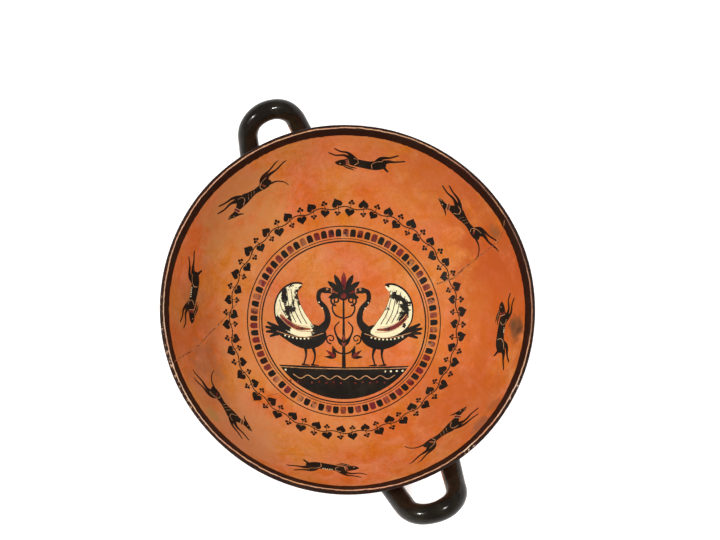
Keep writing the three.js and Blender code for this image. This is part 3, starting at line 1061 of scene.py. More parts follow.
def find_roots(rod, outer, form):
    """For each leg of a handle: the run of its last ring clear of the wall, the run at which its
    middle line meets the wall, its direction there, and the ring that it spreads to on the wall.
    Each point of a wider ring is moved along the rod, by halving, until it lies on the wall."""
    legs = []
    psi = full_turn(ROD_SIDES)
    c, s = np.cos(psi)[:, None], np.sin(psi)[:, None]

    def outside(points):
        return np.hypot(points[..., 0], points[..., 1]) - np.interp(
            points[..., 2], outer[:, 1], outer[:, 0]
        )

    for side in (-1, 1):
        leg_end = TIP_TURN * form["loop_radius"] + LEG_LENGTH
        runs = np.arange(ROOT_START, leg_end, ROOT_STEP) * side
        middle, _, out, over = rod.at(runs)
        meet = runs[np.argmax(outside(middle) < 0)]
        radius = form["rod_radius"] * (1 + ROOT_SWELL)
        ring = middle[:, None] + radius * (c * out[:, None] + s * over[:, None])
        last = runs[np.argmax(outside(ring).min(axis=1) < ROOT_GAP) - 1]
        middle, way, out, over = rod.at(np.array([last]))
        way = way * side
        wide = middle + radius * ROOT_SPREAD * (c * out + s * over)
        near, far = np.full(ROD_SIDES, ROOT_NEAR), np.full(ROD_SIDES, ROOT_FAR)
        for _ in range(HALVINGS):
            half = (near + far) / 2
            clear = outside(wide + way * half[:, None]) > 0
            near, far = np.where(clear, half, near), np.where(clear, far, half)
        legs.append((last, meet, way, wide + way * near[:, None]))
    return legs


def grid_normals(places):
    """Normals of a grid whose columns close on themselves (the last repeats the first)."""
    body = places[:, :-1]
    down = np.gradient(body, axis=0)
    round_way = np.roll(body, -1, 1) - np.roll(body, 1, 1)
    normal = np.cross(down, round_way)
    normal /= np.maximum(np.linalg.norm(normal, axis=-1, keepdims=True), 1e-9)
    return np.concatenate([normal, normal[:, :1]], axis=1)


def add_inside(skin, wall, painting, form):
    """The painted inside of the bowl. Gives the numbers of its rim's points."""
    edge = wall.plane[-1]
    figures = [(LIP, polar(edge, full_turn(RIM_SIDES)))] + paint_inside(wall, painting)
    flat, triangles, looks, place = divide(figures, fill_points(wall, 0, edge - RIM_MARGIN, 1))
    places, normals, run = wall.place(flat)
    places, normals = stray(places, normals, form["unevenness"])
    numbers = skin.add_points(places)
    chart = round_map(np.arctan2(flat[:, 1], flat[:, 0]), run, INSIDE_REACH, INSIDE_MAP)
    skin.add_faces(numbers, triangles, looks, normals, chart)
    return numbers[place[:RIM_SIDES]]


def add_outside(skin, wall, painting, form, rings):
    """The painted outside of the bowl, open inside the handles' rings and at the stem. Gives the
    numbers of the points of its rim, of each handle's ring and of the stem's ring."""
    hollows = []
    for ring in rings:
        r, turn = np.hypot(ring[:, 0], ring[:, 1]), np.arctan2(ring[:, 1], ring[:, 0])
        hollows.append(polar(wall.flat(r), turn))
    hollows.append(polar(wall.plane[0], full_turn(STEM_SIDES)))
    edge = wall.plane[-1]
    figures = [(LIP, polar(edge, full_turn(RIM_SIDES)))] + paint_outside(wall, painting, hollows)
    loose = fill_points(wall, wall.plane[0] + STEM_MARGIN, edge - RIM_MARGIN, 2)
    flat, triangles, looks, place = divide(figures, loose)
    places, normals, run = wall.place(flat)
    places, normals = stray(places, normals, form["unevenness"])
    used = np.unique(triangles)
    fresh = np.full(len(flat), -1)
    fresh[used] = skin.add_points(places[used])
    start = wall.line[0, 0]
    turn = np.arctan2(flat[:, 1], flat[:, 0])
    chart = round_map(turn, run + start, OUTSIDE_REACH + start, OUTSIDE_MAP)
    skin.add_faces(fresh, triangles[:, ::-1], looks, normals, chart)
    total = sum(len(outline) for _, outline in figures)
    edges = fresh[place[total - sum(map(len, hollows)):total]]
    return fresh[place[:RIM_SIDES]], edges[:-STEM_SIDES].reshape(-1, ROD_SIDES), edges[-STEM_SIDES:]


def add_lip(skin, centre, start, inner_ring, outer_ring, form):
    """The lip, from the inner wall over the top to the outer one: half a circle round the
    section's centre, turned round the axis and chipped. In the flat map it goes on from the
    distance start."""
    half = form["lip_thickness"] / 2
    way = np.linspace(LIP_SLOPE + math.pi / 2, LIP_SLOPE - math.pi / 2, LIP_ROWS + 1)
    places, normals, turn = turned_grid(centre + polar(half, way), RIM_SIDES, left=True)
    places, normals = chipped_lip(places, normals, turn, form)
    numbers = skin.add_rows(places, inner_ring, outer_ring)
    run = start + half * (way[0] - way)[:, None]
    chart = round_map(turn[None], run, INSIDE_REACH, INSIDE_MAP)
    skin.add_grid(numbers, normals, chart, np.full(LIP_ROWS, LIP), flip=True)


FOOT_LOOKS = {"under": FOOT, "edge": OUTSIDE, "stem": BLACK, "collar": PURPLE}


def add_foot(skin, foot, stem_ring, form):
    """The foot and the stem, from the hollow's top outwards and up to the bowl."""
    line = np.vstack([part for _, part in foot])
    looks = np.concatenate([np.full(len(part), FOOT_LOOKS[name]) for name, part in foot])[1:]
    places, normals, turn = turned_grid(line, STEM_SIDES)
    places, normals = stray_grid(places, normals, form["unevenness"])
    numbers = skin.add_rows(places, skin.add_points(places[0, :1])[0], stem_ring)
    chart = round_map(turn[None], run_along(line)[:, None], FOOT_REACH, FOOT_MAP)
    skin.add_grid(numbers, normals, chart, looks)


def fillet(start, along, ring):
    """The spread of a rod onto the wall, row by row. Each point goes from the rod's last ring to
    the ring on the wall on a cubic curve that leaves along the rod and arrives along the wall."""
    goal = np.vstack([ring, ring[:1]])
    spoke = goal - ring.mean(axis=0)
    facing = np.cross(ring[ROD_SIDES // 4] - ring[0], ring[ROD_SIDES // 2] - ring[0])
    facing /= np.linalg.norm(facing)
    spoke -= (spoke @ facing)[:, None] * facing
    spoke /= np.linalg.norm(spoke, axis=1)[:, None]
    gap = np.linalg.norm(goal - start, axis=1)[:, None]
    knee_one = start + along * gap * FILLET_LEAVE
    knee_two = goal - spoke * np.minimum(gap * FILLET_ARRIVE, FILLET_ARRIVE_MOST)
    t = np.linspace(0, 1, FILLET_ROWS + 1)[1:, None, None]
    return cubic(t, start, knee_one, knee_two, goal)


def add_handle(skin, rod, legs, rings, form, which):
    """One handle: a round rod from wall to wall, spreading at both ends. Gives the rod's points
    and how far each faces into the loop, -1 to 1."""
    psi = np.linspace(0, 2 * math.pi, ROD_SIDES + 1)
    c, s = np.cos(psi)[None, :, None], np.sin(psi)[None, :, None]
    (first, first_meet, *first_root), (last, last_meet, *last_root) = legs
    runs = np.linspace(first, last, int((last - first) / ROD_STEP) + 1)
    middle, _, out, over = rod.at(runs)
    from_wall = np.minimum(runs - first_meet, last_meet - runs)
    radius = form["rod_radius"] * (1 + ROOT_SWELL * np.exp(-from_wall / ROOT_SWELL_REACH))
    one, two = (share * np.sin(runs * rate + which * apart) for share, rate, apart in ROD_WAVES)
    radius = radius * (1 + one + two)
    body = middle[:, None] + radius[:, None, None] * (c * out[:, None] + s * over[:, None])
    places = np.vstack([fillet(body[0], *first_root)[::-1], body, fillet(body[-1], *last_root)])
    places, _ = stray_grid(places, np.ones_like(places), form["unevenness"])
    numbers = skin.add_rows(places, *rings)
    run, round_share = np.meshgrid(np.linspace(0, 1, len(places)), psi / (2 * math.pi), indexing="ij")
    chart = ROD_MAPS[which] + np.stack([run, round_share], axis=-1) * ROD_MAP_SIZE
    skin.add_grid(numbers, grid_normals(places), chart, np.full(len(places) - 1, ROD), flip=True)
    own = numbers[1:-1, :-1]
    return own.ravel(), np.broadcast_to(-np.cos(psi[:-1]), own.shape).ravel()


def build_cup(shape, painting):
    """The whole cup as one closed skin. Also gives the handles' points, and how far each faces
    into its loop."""
    form = form_sizes(shape)
    inner_line, outer_line, lip_centre = bowl_lines(form)
    foot = foot_line(form)
    joint = foot[-1][1][-1]
    clear = outer_line[outer_line[:, 0] > joint[0] + 1]
    inside = Wall(inner_line, 1)
    outside = Wall(evenly(np.vstack([joint, clear]), LINE_POINTS), -1)
    rods = [Rod(form, *setting) for setting in HANDLE_SETTINGS]
    roots = [find_roots(rod, outside.line, form) for rod in rods]
    rings = [ring for legs in roots for *_, ring in legs]

    skin = Skin()
    inner_ring = add_inside(skin, inside, painting, form)
    outer_ring, root_rings, stem_ring = add_outside(skin, outside, painting, form, rings)
    add_lip(skin, lip_centre, inside.run[-1], inner_ring, outer_ring, form)
    add_foot(skin, foot, stem_ring, form)
    handles = [
        add_handle(skin, rod, legs, root_rings[2 * k:2 * k + 2], form, k)
        for k, (rod, legs) in enumerate(zip(rods, roots))
    ]
    rod_numbers, rod_inner = (np.concatenate(parts) for parts in zip(*handles))
    return skin, rod_numbers, rod_inner


# Chips knocked from the lip: degrees round, length and depth in millimetres.
LIP_CHIPS = [(17.0, 4.5, 0.9), (61, 3.0, 0.4), (104, 3.2, 0.5), (-96, 9.0, 0.45), (-82, 5.0, 0.4),
             (151, 3.0, 0.4), (-140, 3.6, 0.5), (-35, 3.0, 0.4), (38, 7.0, 0.5), (-118, 4.0, 0.35)]
# Where a chip is deepest and how far it reaches, as shares of the way over the lip.
CHIP_MIDDLE, CHIP_REACH = 0.55, 0.22


def chipped_lip(places, normals, turn, form):
    """The lip's grid, worn back where it was chipped: each chip is a bell-shaped dent in the
    outer upper part of the section."""
    places, normals = stray_grid(places, normals, form["unevenness"])
    across = np.linspace(0, 1, len(places))[:, None]
    dent = np.zeros(places.shape[:2])
    for degrees, length, depth in LIP_CHIPS:
        away = (turn - math.radians(degrees) + math.pi) % (2 * math.pi) - math.pi
        bell = np.exp(-((away * form["rim_radius"] / (length / 2)) ** 2))
        dent += depth * bell[None] * np.exp(-(((across - CHIP_MIDDLE) / CHIP_REACH) ** 2))
    return places - normals * dent[:, :, None], normals


def make_object(name, skin, attributes):
    """Puts the finished surface into a Blender mesh, in metres."""
    mesh = bpy.data.meshes.new(name)
    points = np.vstack(skin.points) * MM
    triangles = np.vstack(skin.triangles)
    mesh.from_pydata(points, [], triangles)
    mesh.polygons.foreach_set("material_index", np.concatenate(skin.looks).astype(np.int32))
    mesh.polygons.foreach_set("use_smooth", np.ones(len(triangles), bool))
    chart = mesh.uv_layers.new(name="OFBake")
    chart.uv.foreach_set("vector", np.vstack(skin.places).astype(np.float32).ravel())
    for attribute, (numbers, values) in attributes.items():
        column = np.zeros(len(points), np.float32)
        column[numbers] = values
        mesh.attributes.new(attribute, "FLOAT", "POINT").data.foreach_set("value", column)
    mesh.update()
    mesh.normals_split_custom_set(np.vstack(skin.normals).reshape(-1, 3).tolist())
    if mesh.validate():
        raise RuntimeError(f"the mesh of {name} had faults")
    piece = bpy.data.objects.new(name, mesh)
    bpy.context.scene.collection.objects.link(piece)
    return piece


# ---------------------------------------------------------------------------------------------
# Finishes


class Tree:
    """Adds shader nodes to one tree. A socket given as an input is linked, anything else is set
    as the input's value."""

    def __init__(self, tree):
        self.tree = tree

    def add(self, kind, inputs=None, **settings):
        node = self.tree.nodes.new("ShaderNode" + kind)
        for setting, value in settings.items():
            setattr(node, setting, value)
        for key, value in (inputs or {}).items():
            if isinstance(value, bpy.types.NodeSocket):
                self.link(value, node.inputs[key])
            else:
                node.inputs[key].default_value = value
        return node

    def link(self, output, socket):
        self.tree.links.new(output, socket)

    def place(self):
        """The place on the cup, in metres."""
        return self.add("TexCoord").outputs["Object"]

    def maths(self, operation, *values):
        return self.add("Math", dict(enumerate(values)), operation=operation).outputs[0]

    def noise(self, scale, detail=2.0, roughness=0.5, vector=None, distortion=0.0):
        """Noise between 0 and 1, with about as many lumps to the metre as the scale says."""
        inputs = {
            "Vector": vector or self.place(), "Scale": scale, "Detail": detail,
            "Roughness": roughness, "Distortion": distortion,
        }
        return self.add("TexNoise", inputs).outputs["Fac"]

    def ramp(self, value, low, high, start=0.0, end=1.0):
        """The value carried smoothly from one range to another."""
        inputs = {"Value": value, "From Min": low, "From Max": high, "To Min": start, "To Max": end}
        return self.add("MapRange", inputs, interpolation_type="SMOOTHSTEP").outputs["Result"]

    def mix(self, share, one, two):
        """One colour where the share is 0 and the other where it is 1."""
        node = self.add("Mix", data_type="RGBA")
        for key, value in ((0, share), (6, one), (7, two)):
            if isinstance(value, bpy.types.NodeSocket):
                self.link(value, node.inputs[key])
            elif key == 0:
                node.inputs[key].default_value = value
            else:
                node.inputs[key].default_value = (*value[:3], 1)
        return node.outputs[2]

    def axis_distance(self):
        """Distance from the cup's upright axis."""
        flat = self.add("VectorMath", {0: self.place(), 1: (1, 1, 0)}, operation="MULTIPLY")
        return self.add("VectorMath", {0: flat.outputs[0]}, operation="LENGTH").outputs["Value"]


def new_group(name, inputs, outputs):
    """A shader node group with these sockets: (group, Tree, input node, output node)."""
    group = bpy.data.node_groups.new(name, "ShaderNodeTree")
    kinds = {"colour": "NodeSocketColor", "value": "NodeSocketFloat", "vector": "NodeSocketVector"}
    for socket, (kind, default) in inputs.items():
        made = group.interface.new_socket(socket, in_out="INPUT", socket_type=kinds[kind])
        made.default_value = default
    for socket, kind in outputs.items():
        group.interface.new_socket(socket, in_out="OUTPUT", socket_type=kinds[kind])
    tree = Tree(group)
    return group, tree, group.nodes.new("NodeGroupInput"), group.nodes.new("NodeGroupOutput")


def hand_group():
    """Marks of the potter's hand: rings left by turning, and fine grit under the slip."""
    inputs = {"Rings": ("value", 1.0), "Grit": ("value", 1.0)}
    group, tree, given, made = new_group("Potter's hand", inputs, {"Height": "value"})
    drift = tree.maths("MULTIPLY", tree.noise(14, 1), 0.004)
    far = tree.maths("ADD", tree.axis_distance(), drift)
    height = tree.add("SeparateXYZ", {0: tree.place()}).outputs["Z"]
    across = tree.maths("ADD", far, tree.maths("MULTIPLY", height, 0.6))
    rings = tree.add("TexNoise", {"W": across, "Scale": 330, "Detail": 2.5}, noise_dimensions="1D")
    rings = tree.maths("MULTIPLY", rings.outputs["Fac"], given.outputs["Rings"])
    grit = tree.maths("MULTIPLY", tree.noise(1300, 2), given.outputs["Grit"])
    whole = tree.maths("ADD", rings, tree.maths("MULTIPLY", grit, 0.25))
    tree.link(whole, made.inputs["Height"])
    return group


def firing_group():
    """Uneven colour from the kiln: broad clouds, brush-wide streaks and fine dark and pale specks."""
    inputs = {"Color": ("colour", (0.5, 0.2, 0.1, 1)), "Clouds": ("value", 1.0), "Specks": ("value", 1.0)}
    group, tree, given, made = new_group("Uneven firing", inputs, {"Color": "colour"})
    clouds = tree.ramp(tree.noise(15, 3, 0.6, distortion=0.6), 0.3, 0.7, -1, 1)
    streaks = tree.ramp(tree.noise(62, 4, 0.65, distortion=0.8), 0.28, 0.72, -1, 1)
    grain = tree.ramp(tree.noise(330, 3, 0.7), 0.25, 0.75, -1, 1)
    fine = tree.ramp(tree.noise(900, 3, 0.7), 0.25, 0.75, -1, 1)
    light = tree.maths("MULTIPLY", clouds, 0.06)
    light = tree.maths("ADD", light, tree.maths("MULTIPLY", streaks, 0.045))
    light = tree.maths("MULTIPLY", light, given.outputs["Clouds"])
    light = tree.maths("ADD", light, tree.maths("MULTIPLY", grain, 0.085))
    light = tree.maths("ADD", light, tree.maths("MULTIPLY", fine, 0.08))
    tan = tree.ramp(tree.noise(27, 4, 0.6, distortion=1.2), 0.46, 0.7)
    tan = tree.maths("MULTIPLY", tree.maths("MULTIPLY", tan, 0.5), given.outputs["Clouds"])
    tinted = tree.mix(tan, given.outputs["Color"], tone(206, 138, 82))
    warm = tree.ramp(tree.noise(21, 2, 0.5), 0.35, 0.65, -1, 1)
    shifted = tree.add("HueSaturation", {
        "Hue": tree.maths("ADD", tree.maths("MULTIPLY", warm, 0.007), 0.5),
        "Saturation": tree.maths("ADD", tree.maths("MULTIPLY", streaks, -0.05), 1.0),
        "Value": tree.maths("ADD", light, 1.0),
        "Color": tinted,
    }).outputs["Color"]
    dark = tree.ramp(tree.noise(900, 2, 0.6), 0.68, 0.76)
    dark = tree.maths("MULTIPLY", tree.maths("MULTIPLY", dark, 0.55), given.outputs["Specks"])
    specked = tree.mix(dark, shifted, tone(96, 52, 30))
    pale = tree.ramp(tree.noise(560, 2, 0.6), 0.7, 0.78)
    pale = tree.maths("MULTIPLY", tree.maths("MULTIPLY", pale, 0.4), given.outputs["Specks"])
    specked = tree.mix(pale, specked, tone(232, 178, 132))
    tree.link(specked, made.inputs["Color"])
    return group


def gloss_group():
    """Old black gloss: browner where it is thin, with pinholes down to the clay and a sheen
    that is broken by fine scratches."""
    inputs = {
        "Thick": ("colour", (0.01, 0.01, 0.01, 1)), "Thin": ("colour", (0.1, 0.02, 0.01, 1)),
        "Wear": ("value", 0.3), "Dullness": ("value", 0.3),
    }
    outputs = {"Color": "colour", "Roughness": "value", "Height": "value"}
    group, tree, given, made = new_group("Old gloss", inputs, outputs)
    clouds = tree.noise(48, 4, 0.6, distortion=0.8)
    thin = tree.ramp(clouds, 0.5, 0.78)
    thin = tree.maths("MULTIPLY", thin, tree.maths("ADD", given.outputs["Wear"], 0.25))
    body = tree.mix(thin, given.outputs["Thick"], given.outputs["Thin"])
    olive = tree.maths("MULTIPLY", tree.ramp(tree.noise(90, 3, 0.6), 0.4, 0.75), 0.35)
    body = tree.mix(olive, body, tone(52, 48, 34))
    holes = tree.noise(520, 3, 0.65)
    limit = tree.maths("SUBTRACT", 0.79, tree.maths("MULTIPLY", given.outputs["Wear"], 0.1))
    worn = tree.ramp(tree.maths("SUBTRACT", holes, limit), 0.0, 0.03)
    body = tree.mix(worn, body, tone(168, 96, 58))
    rough = tree.ramp(tree.noise(130, 3, 0.6), 0.3, 0.7, -0.05, 0.08)
    rough = tree.maths("ADD", rough, given.outputs["Dullness"])
    rough = tree.maths("ADD", rough, tree.maths("MULTIPLY", worn, 0.35))
    height = tree.maths("SUBTRACT", tree.noise(300, 2), tree.maths("MULTIPLY", worn, 0.8))
    tree.link(body, made.inputs["Color"])
    tree.link(rough, made.inputs["Roughness"])
    tree.link(height, made.inputs["Height"])
    return group


def patch_group():
    """A soft ragged patch round one place: how strongly it shows there."""
    inputs = {
        "Place": ("vector", (0, 0, 0)), "Reach": ("value", 0.01), "Ragged": ("value", 0.5),
    }
    group, tree, given, made = new_group("Soft patch", inputs, {"Mask": "value"})
    away = tree.add("VectorMath", {0: tree.place(), 1: given.outputs["Place"]}, operation="DISTANCE")
    share = tree.maths("DIVIDE", away.outputs["Value"], given.outputs["Reach"])
    edge = tree.maths("SUBTRACT", tree.noise(70, 4, 0.65), 0.5)
    edge = tree.maths("MULTIPLY", tree.maths("MULTIPLY", edge, given.outputs["Ragged"]), 3.0)
    share = tree.maths("ADD", share, edge)
    tree.link(tree.ramp(share, 0.35, 1.0, 1, 0), made.inputs["Mask"])
    return group


# How ragged the edges of patches and of worn places are, 0 to 1. The patches are stains, and inside the
# bowl partly painted light and shade.
PATCH_RAGGED, WEAR_RAGGED = 0.55, 0.6

# Patches inside the bowl: place in millimetres, reach, strength and colour. The broad ones, of about 50 mm
# reach and more, are partly the slip's uneven firing and partly painted light and shade across the walls,
# lighter and darker than the lamps make them. The small ones, of 25 mm reach and less, are smudges and
# stains.
GROUND_TONES_AND_SHADING = [
    ((-45, -132, 115), 58, 0.45, (176, 94, 44)),
    ((-123, -50, 105), 56, 0.7, (196, 132, 78)),
    ((57, -119, 103), 54, 0.7, (202, 132, 88)),
    ((16, -133, 106), 34, 0.4, (176, 108, 66)),
    ((-90, -41, 73), 50, 0.4, (208, 138, 78)),
    ((-12, -73, 60), 58, 0.45, (210, 136, 82)),
    ((75, -45, 66), 50, 0.4, (214, 132, 76)),
    ((-132, 60, 112), 60, 0.3, (214, 122, 76)),
    ((39, 123, 100), 72, 0.7, (190, 86, 30)),
    ((104, 56, 96), 62, 0.55, (184, 88, 34)),
    ((-8, 136, 112), 52, 0.55, (182, 82, 32)),
    ((-76, 117, 115), 54, 0.55, (190, 88, 42)),
    ((44, 76, 66), 52, 0.3, (206, 116, 46)),
    ((-61, 77, 72), 60, 0.3, (206, 116, 52)),
    ((68.6, 124.3, 117), 13.5, 0.75, (108, 76, 48)),
    ((72, 128, 121), 9, 0.8, (66, 50, 36)),
    ((63, 120, 114), 7, 0.6, (92, 68, 46)),
    ((129.4, 63.6, 125), 13, 0.6, (128, 82, 62)),
    ((120, 78, 122), 11, 0.4, (140, 88, 62)),
    ((-12.7, 139.9, 117.3), 9, 0.6, (120, 84, 52)),
    ((-8, -118, 95), 24, 0.4, (150, 98, 66)),
    ((-62, -112, 99), 16, 0.35, (148, 100, 64)),
    ((37.7, -135, 116.6), 10, 0.5, (168, 136, 66)),
]


def patch_mask(tree, groups, place, reach, strength, ragged):
    """How strongly one patch shows, from its place and reach in millimetres."""
    soft_patch = tree.add("Group", node_tree=groups["soft_patch"])
    soft_patch.inputs["Place"].default_value = tuple(v * MM for v in place)
    soft_patch.inputs["Reach"].default_value = reach * MM
    soft_patch.inputs["Ragged"].default_value = ragged
    return tree.maths("MULTIPLY", soft_patch.outputs["Mask"], strength)


def patched(tree, groups, body, patches):
    """A colour with the given patches laid over it: stains, and inside the bowl partly painted light and
    shade.
    """
    for place, reach, strength, patch in patches:
        share = patch_mask(tree, groups, place, reach, strength, PATCH_RAGGED)
        body = tree.mix(share, body, tone(*patch))
    return body


def fired(tree, groups, body, clouds=1.0, specks=1.0):
    """A clay colour with the kiln's unevenness."""
    node = tree.add("Group", node_tree=groups["firing"])
    if isinstance(body, bpy.types.NodeSocket):
        tree.link(body, node.inputs["Color"])
    else:
        node.inputs["Color"].default_value = (*body[:3], 1)
    node.inputs["Clouds"].default_value = clouds
    node.inputs["Specks"].default_value = specks
    return node.outputs["Color"]


def glossy(tree, groups, painting, wear, dullness=0.55):
    """The outputs of the black gloss."""
    node = tree.add("Group", node_tree=groups["gloss"])
    node.inputs["Thick"].default_value = (*painting.gloss, 1)
    node.inputs["Thin"].default_value = (*painting.thin_gloss, 1)
    node.inputs["Wear"].default_value = wear
    node.inputs["Dullness"].default_value = dullness
    return node.outputs


def potted(tree, groups, rings, grit):
    """The height of the potter's marks."""
    node = tree.add("Group", node_tree=groups["hand"])
    node.inputs["Rings"].default_value = rings
    node.inputs["Grit"].default_value = grit
    return node.outputs["Height"]


def finish(
    tree, body, roughness, height, depth, specular=0.5, more_height=None, more_depth=0.0, ior=1.5
):
    """The Principled shader with a bump made from one or two heights, in metres of depth."""
    bump = tree.add("Bump", {"Height": height, "Distance": depth, "Strength": 1.0})
    if more_height is not None:
        second = {"Height": more_height, "Distance": more_depth, "Strength": 1.0}
        bump = tree.add("Bump", {**second, "Normal": bump.outputs["Normal"]})
    shader = tree.add("BsdfPrincipled", {
        "Roughness": roughness, "IOR": ior, "Specular IOR Level": specular,
        "Normal": bump.outputs["Normal"],
    })
    tree.link(body, shader.inputs["Base Color"])
    tree.add("OutputMaterial", {"Surface": shader.outputs["BSDF"]})


def new_material(name):
    """An empty material and its Tree."""
    material = bpy.data.materials.new(name)
    material.use_nodes = True
    material.node_tree.nodes.clear()
    return material, Tree(material.node_tree)


def ground_finish(groups, painting):
    """Coral-red slip inside the bowl, with stains and with broad patches that are partly painted light and
    shade.
    """
    material, tree = new_material("Coral ground")
    body = fired(tree, groups, painting.ground, 1.0, 0.8)
    # The broad patches paint light and shade across the walls as well as the slip's uneven colour.
    body = patched(tree, groups, body, GROUND_TONES_AND_SHADING)
    rough = tree.ramp(tree.noise(40, 3), 0.3, 0.7, 0.5, 0.64)
    finish(tree, body, rough, potted(tree, groups, 1.0, 0.5), 0.00012, 0.12)
    return material


# Ends of the unpainted line along the lip's top, as radii in metres, how soft they are and how
# far the hand that drew them wandered.
LINE_START, LINE_END = 0.14892, 0.14972
LINE_SOFTNESS, LINE_WANDER = 0.0001, 0.0014
# How ragged its two edges are, in metres, and the radii between which the chips begin.
START_RAGGED, END_RAGGED = 0.0009, 0.0014
CHIPS_FROM, CHIPS_FULL = 0.1487, 0.1495
# Worn places of the lip: place in millimetres, reach and strength. Duller brownish places of its line have
# a colour as well.
LIP_WEAR = [
    ((-44.7, -144, 135), 34, 0.65), ((21, -149, 135), 30, 0.6), ((-15, -149, 136), 24, 0.65),
    ((121, 91, 135), 24, 0.8), ((143, 44, 136), 9, 1.0),
]
LIP_DULL = [
    ((-52, 139, 136), 44, 0.85, (112, 70, 58)), ((5, 149, 136), 40, 0.9, (104, 66, 54)),
    ((56, 138, 136), 34, 0.7, (124, 80, 64)),
]


def line_clay(painting):
    """The bare clay of the lip's line, paler than the rest from handling."""
    return tuple(0.5 * c + 0.5 * p for c, p in zip(painting.clay, tone(214, 176, 146)))


def lip_finish(groups, painting):
    """The lip: black inside and outside with a thin line of bare clay between, both edges
    ragged and chipped."""
    material, tree = new_material("Lip")
    ragged = tree.maths("SUBTRACT", tree.noise(260, 4, 0.7), 0.5)
    far = tree.axis_distance()
    wander = tree.maths("SUBTRACT", tree.noise(70, 2, 0.6), 0.5)
    wander = tree.maths("MULTIPLY", wander, LINE_WANDER)
    drifted = tree.maths("ADD", far, wander)
    start = tree.maths("ADD", drifted, tree.maths("MULTIPLY", ragged, START_RAGGED))
    end_ragged = tree.maths("SUBTRACT", tree.noise(180, 4, 0.75), 0.5)
    end = tree.maths("ADD", drifted, tree.maths("MULTIPLY", end_ragged, END_RAGGED))
    bare = tree.maths(
        "MULTIPLY",
        tree.ramp(start, LINE_START - LINE_SOFTNESS, LINE_START + LINE_SOFTNESS),
        tree.ramp(end, LINE_END - LINE_SOFTNESS, LINE_END + LINE_SOFTNESS, 1, 0),
    )
    wear = 0.0
    for place, reach, strength in LIP_WEAR:
        wear = tree.maths(
            "MAXIMUM", wear, patch_mask(tree, groups, place, reach, strength, WEAR_RAGGED)
        )
    chips = tree.ramp(tree.noise(330, 4, 0.7), 0.57, 0.62)
    near_top = tree.ramp(far, CHIPS_FROM, CHIPS_FULL)
    chips = tree.maths("MULTIPLY", tree.maths("MULTIPLY", chips, near_top), wear)
    bare = tree.maths("MAXIMUM", bare, chips)
    worn = tree.maths("MULTIPLY", wear, 0.6)
    pale = tree.mix(worn, line_clay(painting), tone(226, 202, 174))
    line = fired(tree, groups, patched(tree, groups, pale, LIP_DULL))
    gloss = glossy(tree, groups, painting, 0.45)
    reddened = tree.mix(0.3, gloss["Color"], tone(60, 18, 8))
    body = tree.mix(bare, reddened, line)
    rough = tree.maths("MAXIMUM", gloss["Roughness"], tree.maths("MULTIPLY", bare, 0.7))
    finish(
        tree, body, rough, potted(tree, groups, 0.5, 0.6), 0.00012, 0.1,
        tree.maths("MULTIPLY", bare, -1.0), 0.00008,
    )
    return material


OUTSIDE_PATCHES = [
    ((0, -110, 75), 50, 0.35, (190, 118, 76)), ((-90, 95, 95), 45, 0.35, (206, 146, 104)),
    ((70, 100, 70), 30, 0.4, (150, 98, 66)), ((-60, -70, 48), 26, 0.4, (132, 96, 68)),
    ((140, -40, 118), 16, 0.45, (120, 90, 66)),
]


def outside_finish(groups, painting):
    """Bare clay outside, with darker and paler patches and the turning rings in its bump."""
    material, tree = new_material("Outer clay")
    body = fired(tree, groups, painting.clay, 1.4, 1.2)
    body = patched(tree, groups, body, OUTSIDE_PATCHES)
    rough = tree.ramp(tree.noise(50, 3), 0.3, 0.7, 0.55, 0.7)
    finish(tree, body, rough, potted(tree, groups, 1.3, 0.8), 0.00014, 0.3)
    return material


# The height up to which the foot's underside is scuffed, in metres.
SCUFF_HEIGHT = 0.0016


def foot_finish(groups, painting):
    """The underside of the foot: rough bare clay, greyed by soil and scuffed where it stands."""
    material, tree = new_material("Foot underside")
    body = fired(tree, groups, painting.clay, 1.8, 1.6)
    soil = tree.ramp(tree.noise(60, 4, 0.65), 0.42, 0.68, 0, 0.6)
    body = tree.mix(soil, body, tone(146, 118, 92))
    low = tree.ramp(tree.add("SeparateXYZ", {0: tree.place()}).outputs["Z"], 0.0, SCUFF_HEIGHT, 1, 0)
    scuffs = tree.maths("MULTIPLY", low, tree.ramp(tree.noise(240, 4, 0.7), 0.45, 0.6, 0, 0.7))
    body = tree.mix(scuffs, body, tone(226, 184, 146))
    rough = tree.ramp(tree.noise(90, 3), 0.3, 0.7, 0.68, 0.82)
    finish(tree, body, rough, potted(tree, groups, 1.6, 1.6), 0.00018, 0.2)
    return material


# The bare face inside a loop grows wider between these distances from the cup's axis, in metres.
BARE_FROM, BARE_FULL = 0.168, 0.157


def rod_finish(groups, painting):
    """Black gloss on the handles, which stops short of the face inside the loop, more widely near the wall,
    and is thin and worn in places."""
    material, tree = new_material("Handle gloss")
    gloss = glossy(tree, groups, painting, 0.1, 0.14)
    inner = tree.add("Attribute", attribute_name="into_loop").outputs["Fac"]
    by_wall = tree.maths("MULTIPLY", tree.ramp(tree.axis_distance(), BARE_FROM, BARE_FULL), 0.06)
    inner = tree.maths("ADD", inner, by_wall)
    ragged = tree.maths("MULTIPLY", tree.maths("SUBTRACT", tree.noise(90, 4, 0.6), 0.5), 0.16)
    bare = tree.ramp(tree.maths("ADD", inner, ragged), 0.965, 0.98)
    clay = fired(tree, groups, tone(176, 130, 92), 1.3, 1.0)
    body = tree.mix(bare, gloss["Color"], clay)
    rough = tree.maths("MAXIMUM", gloss["Roughness"], tree.maths("MULTIPLY", bare, 0.66))
    finish(
        tree, body, rough, tree.noise(110, 2, 0.5), 0.00015, 0.8,
        potted(tree, groups, 0.0, 0.8), 0.0001, ior=1.24,
    )
    return material


def black_finish(groups, painting):
    """Black gloss of the figures and of the foot."""
    material, tree = new_material("Black gloss")
    gloss = glossy(tree, groups, painting, 0.25)
    finish(
        tree, gloss["Color"], gloss["Roughness"], potted(tree, groups, 0.7, 0.3), 0.0001, 0.12,
        gloss["Height"], 0.00004,
    )
    return material


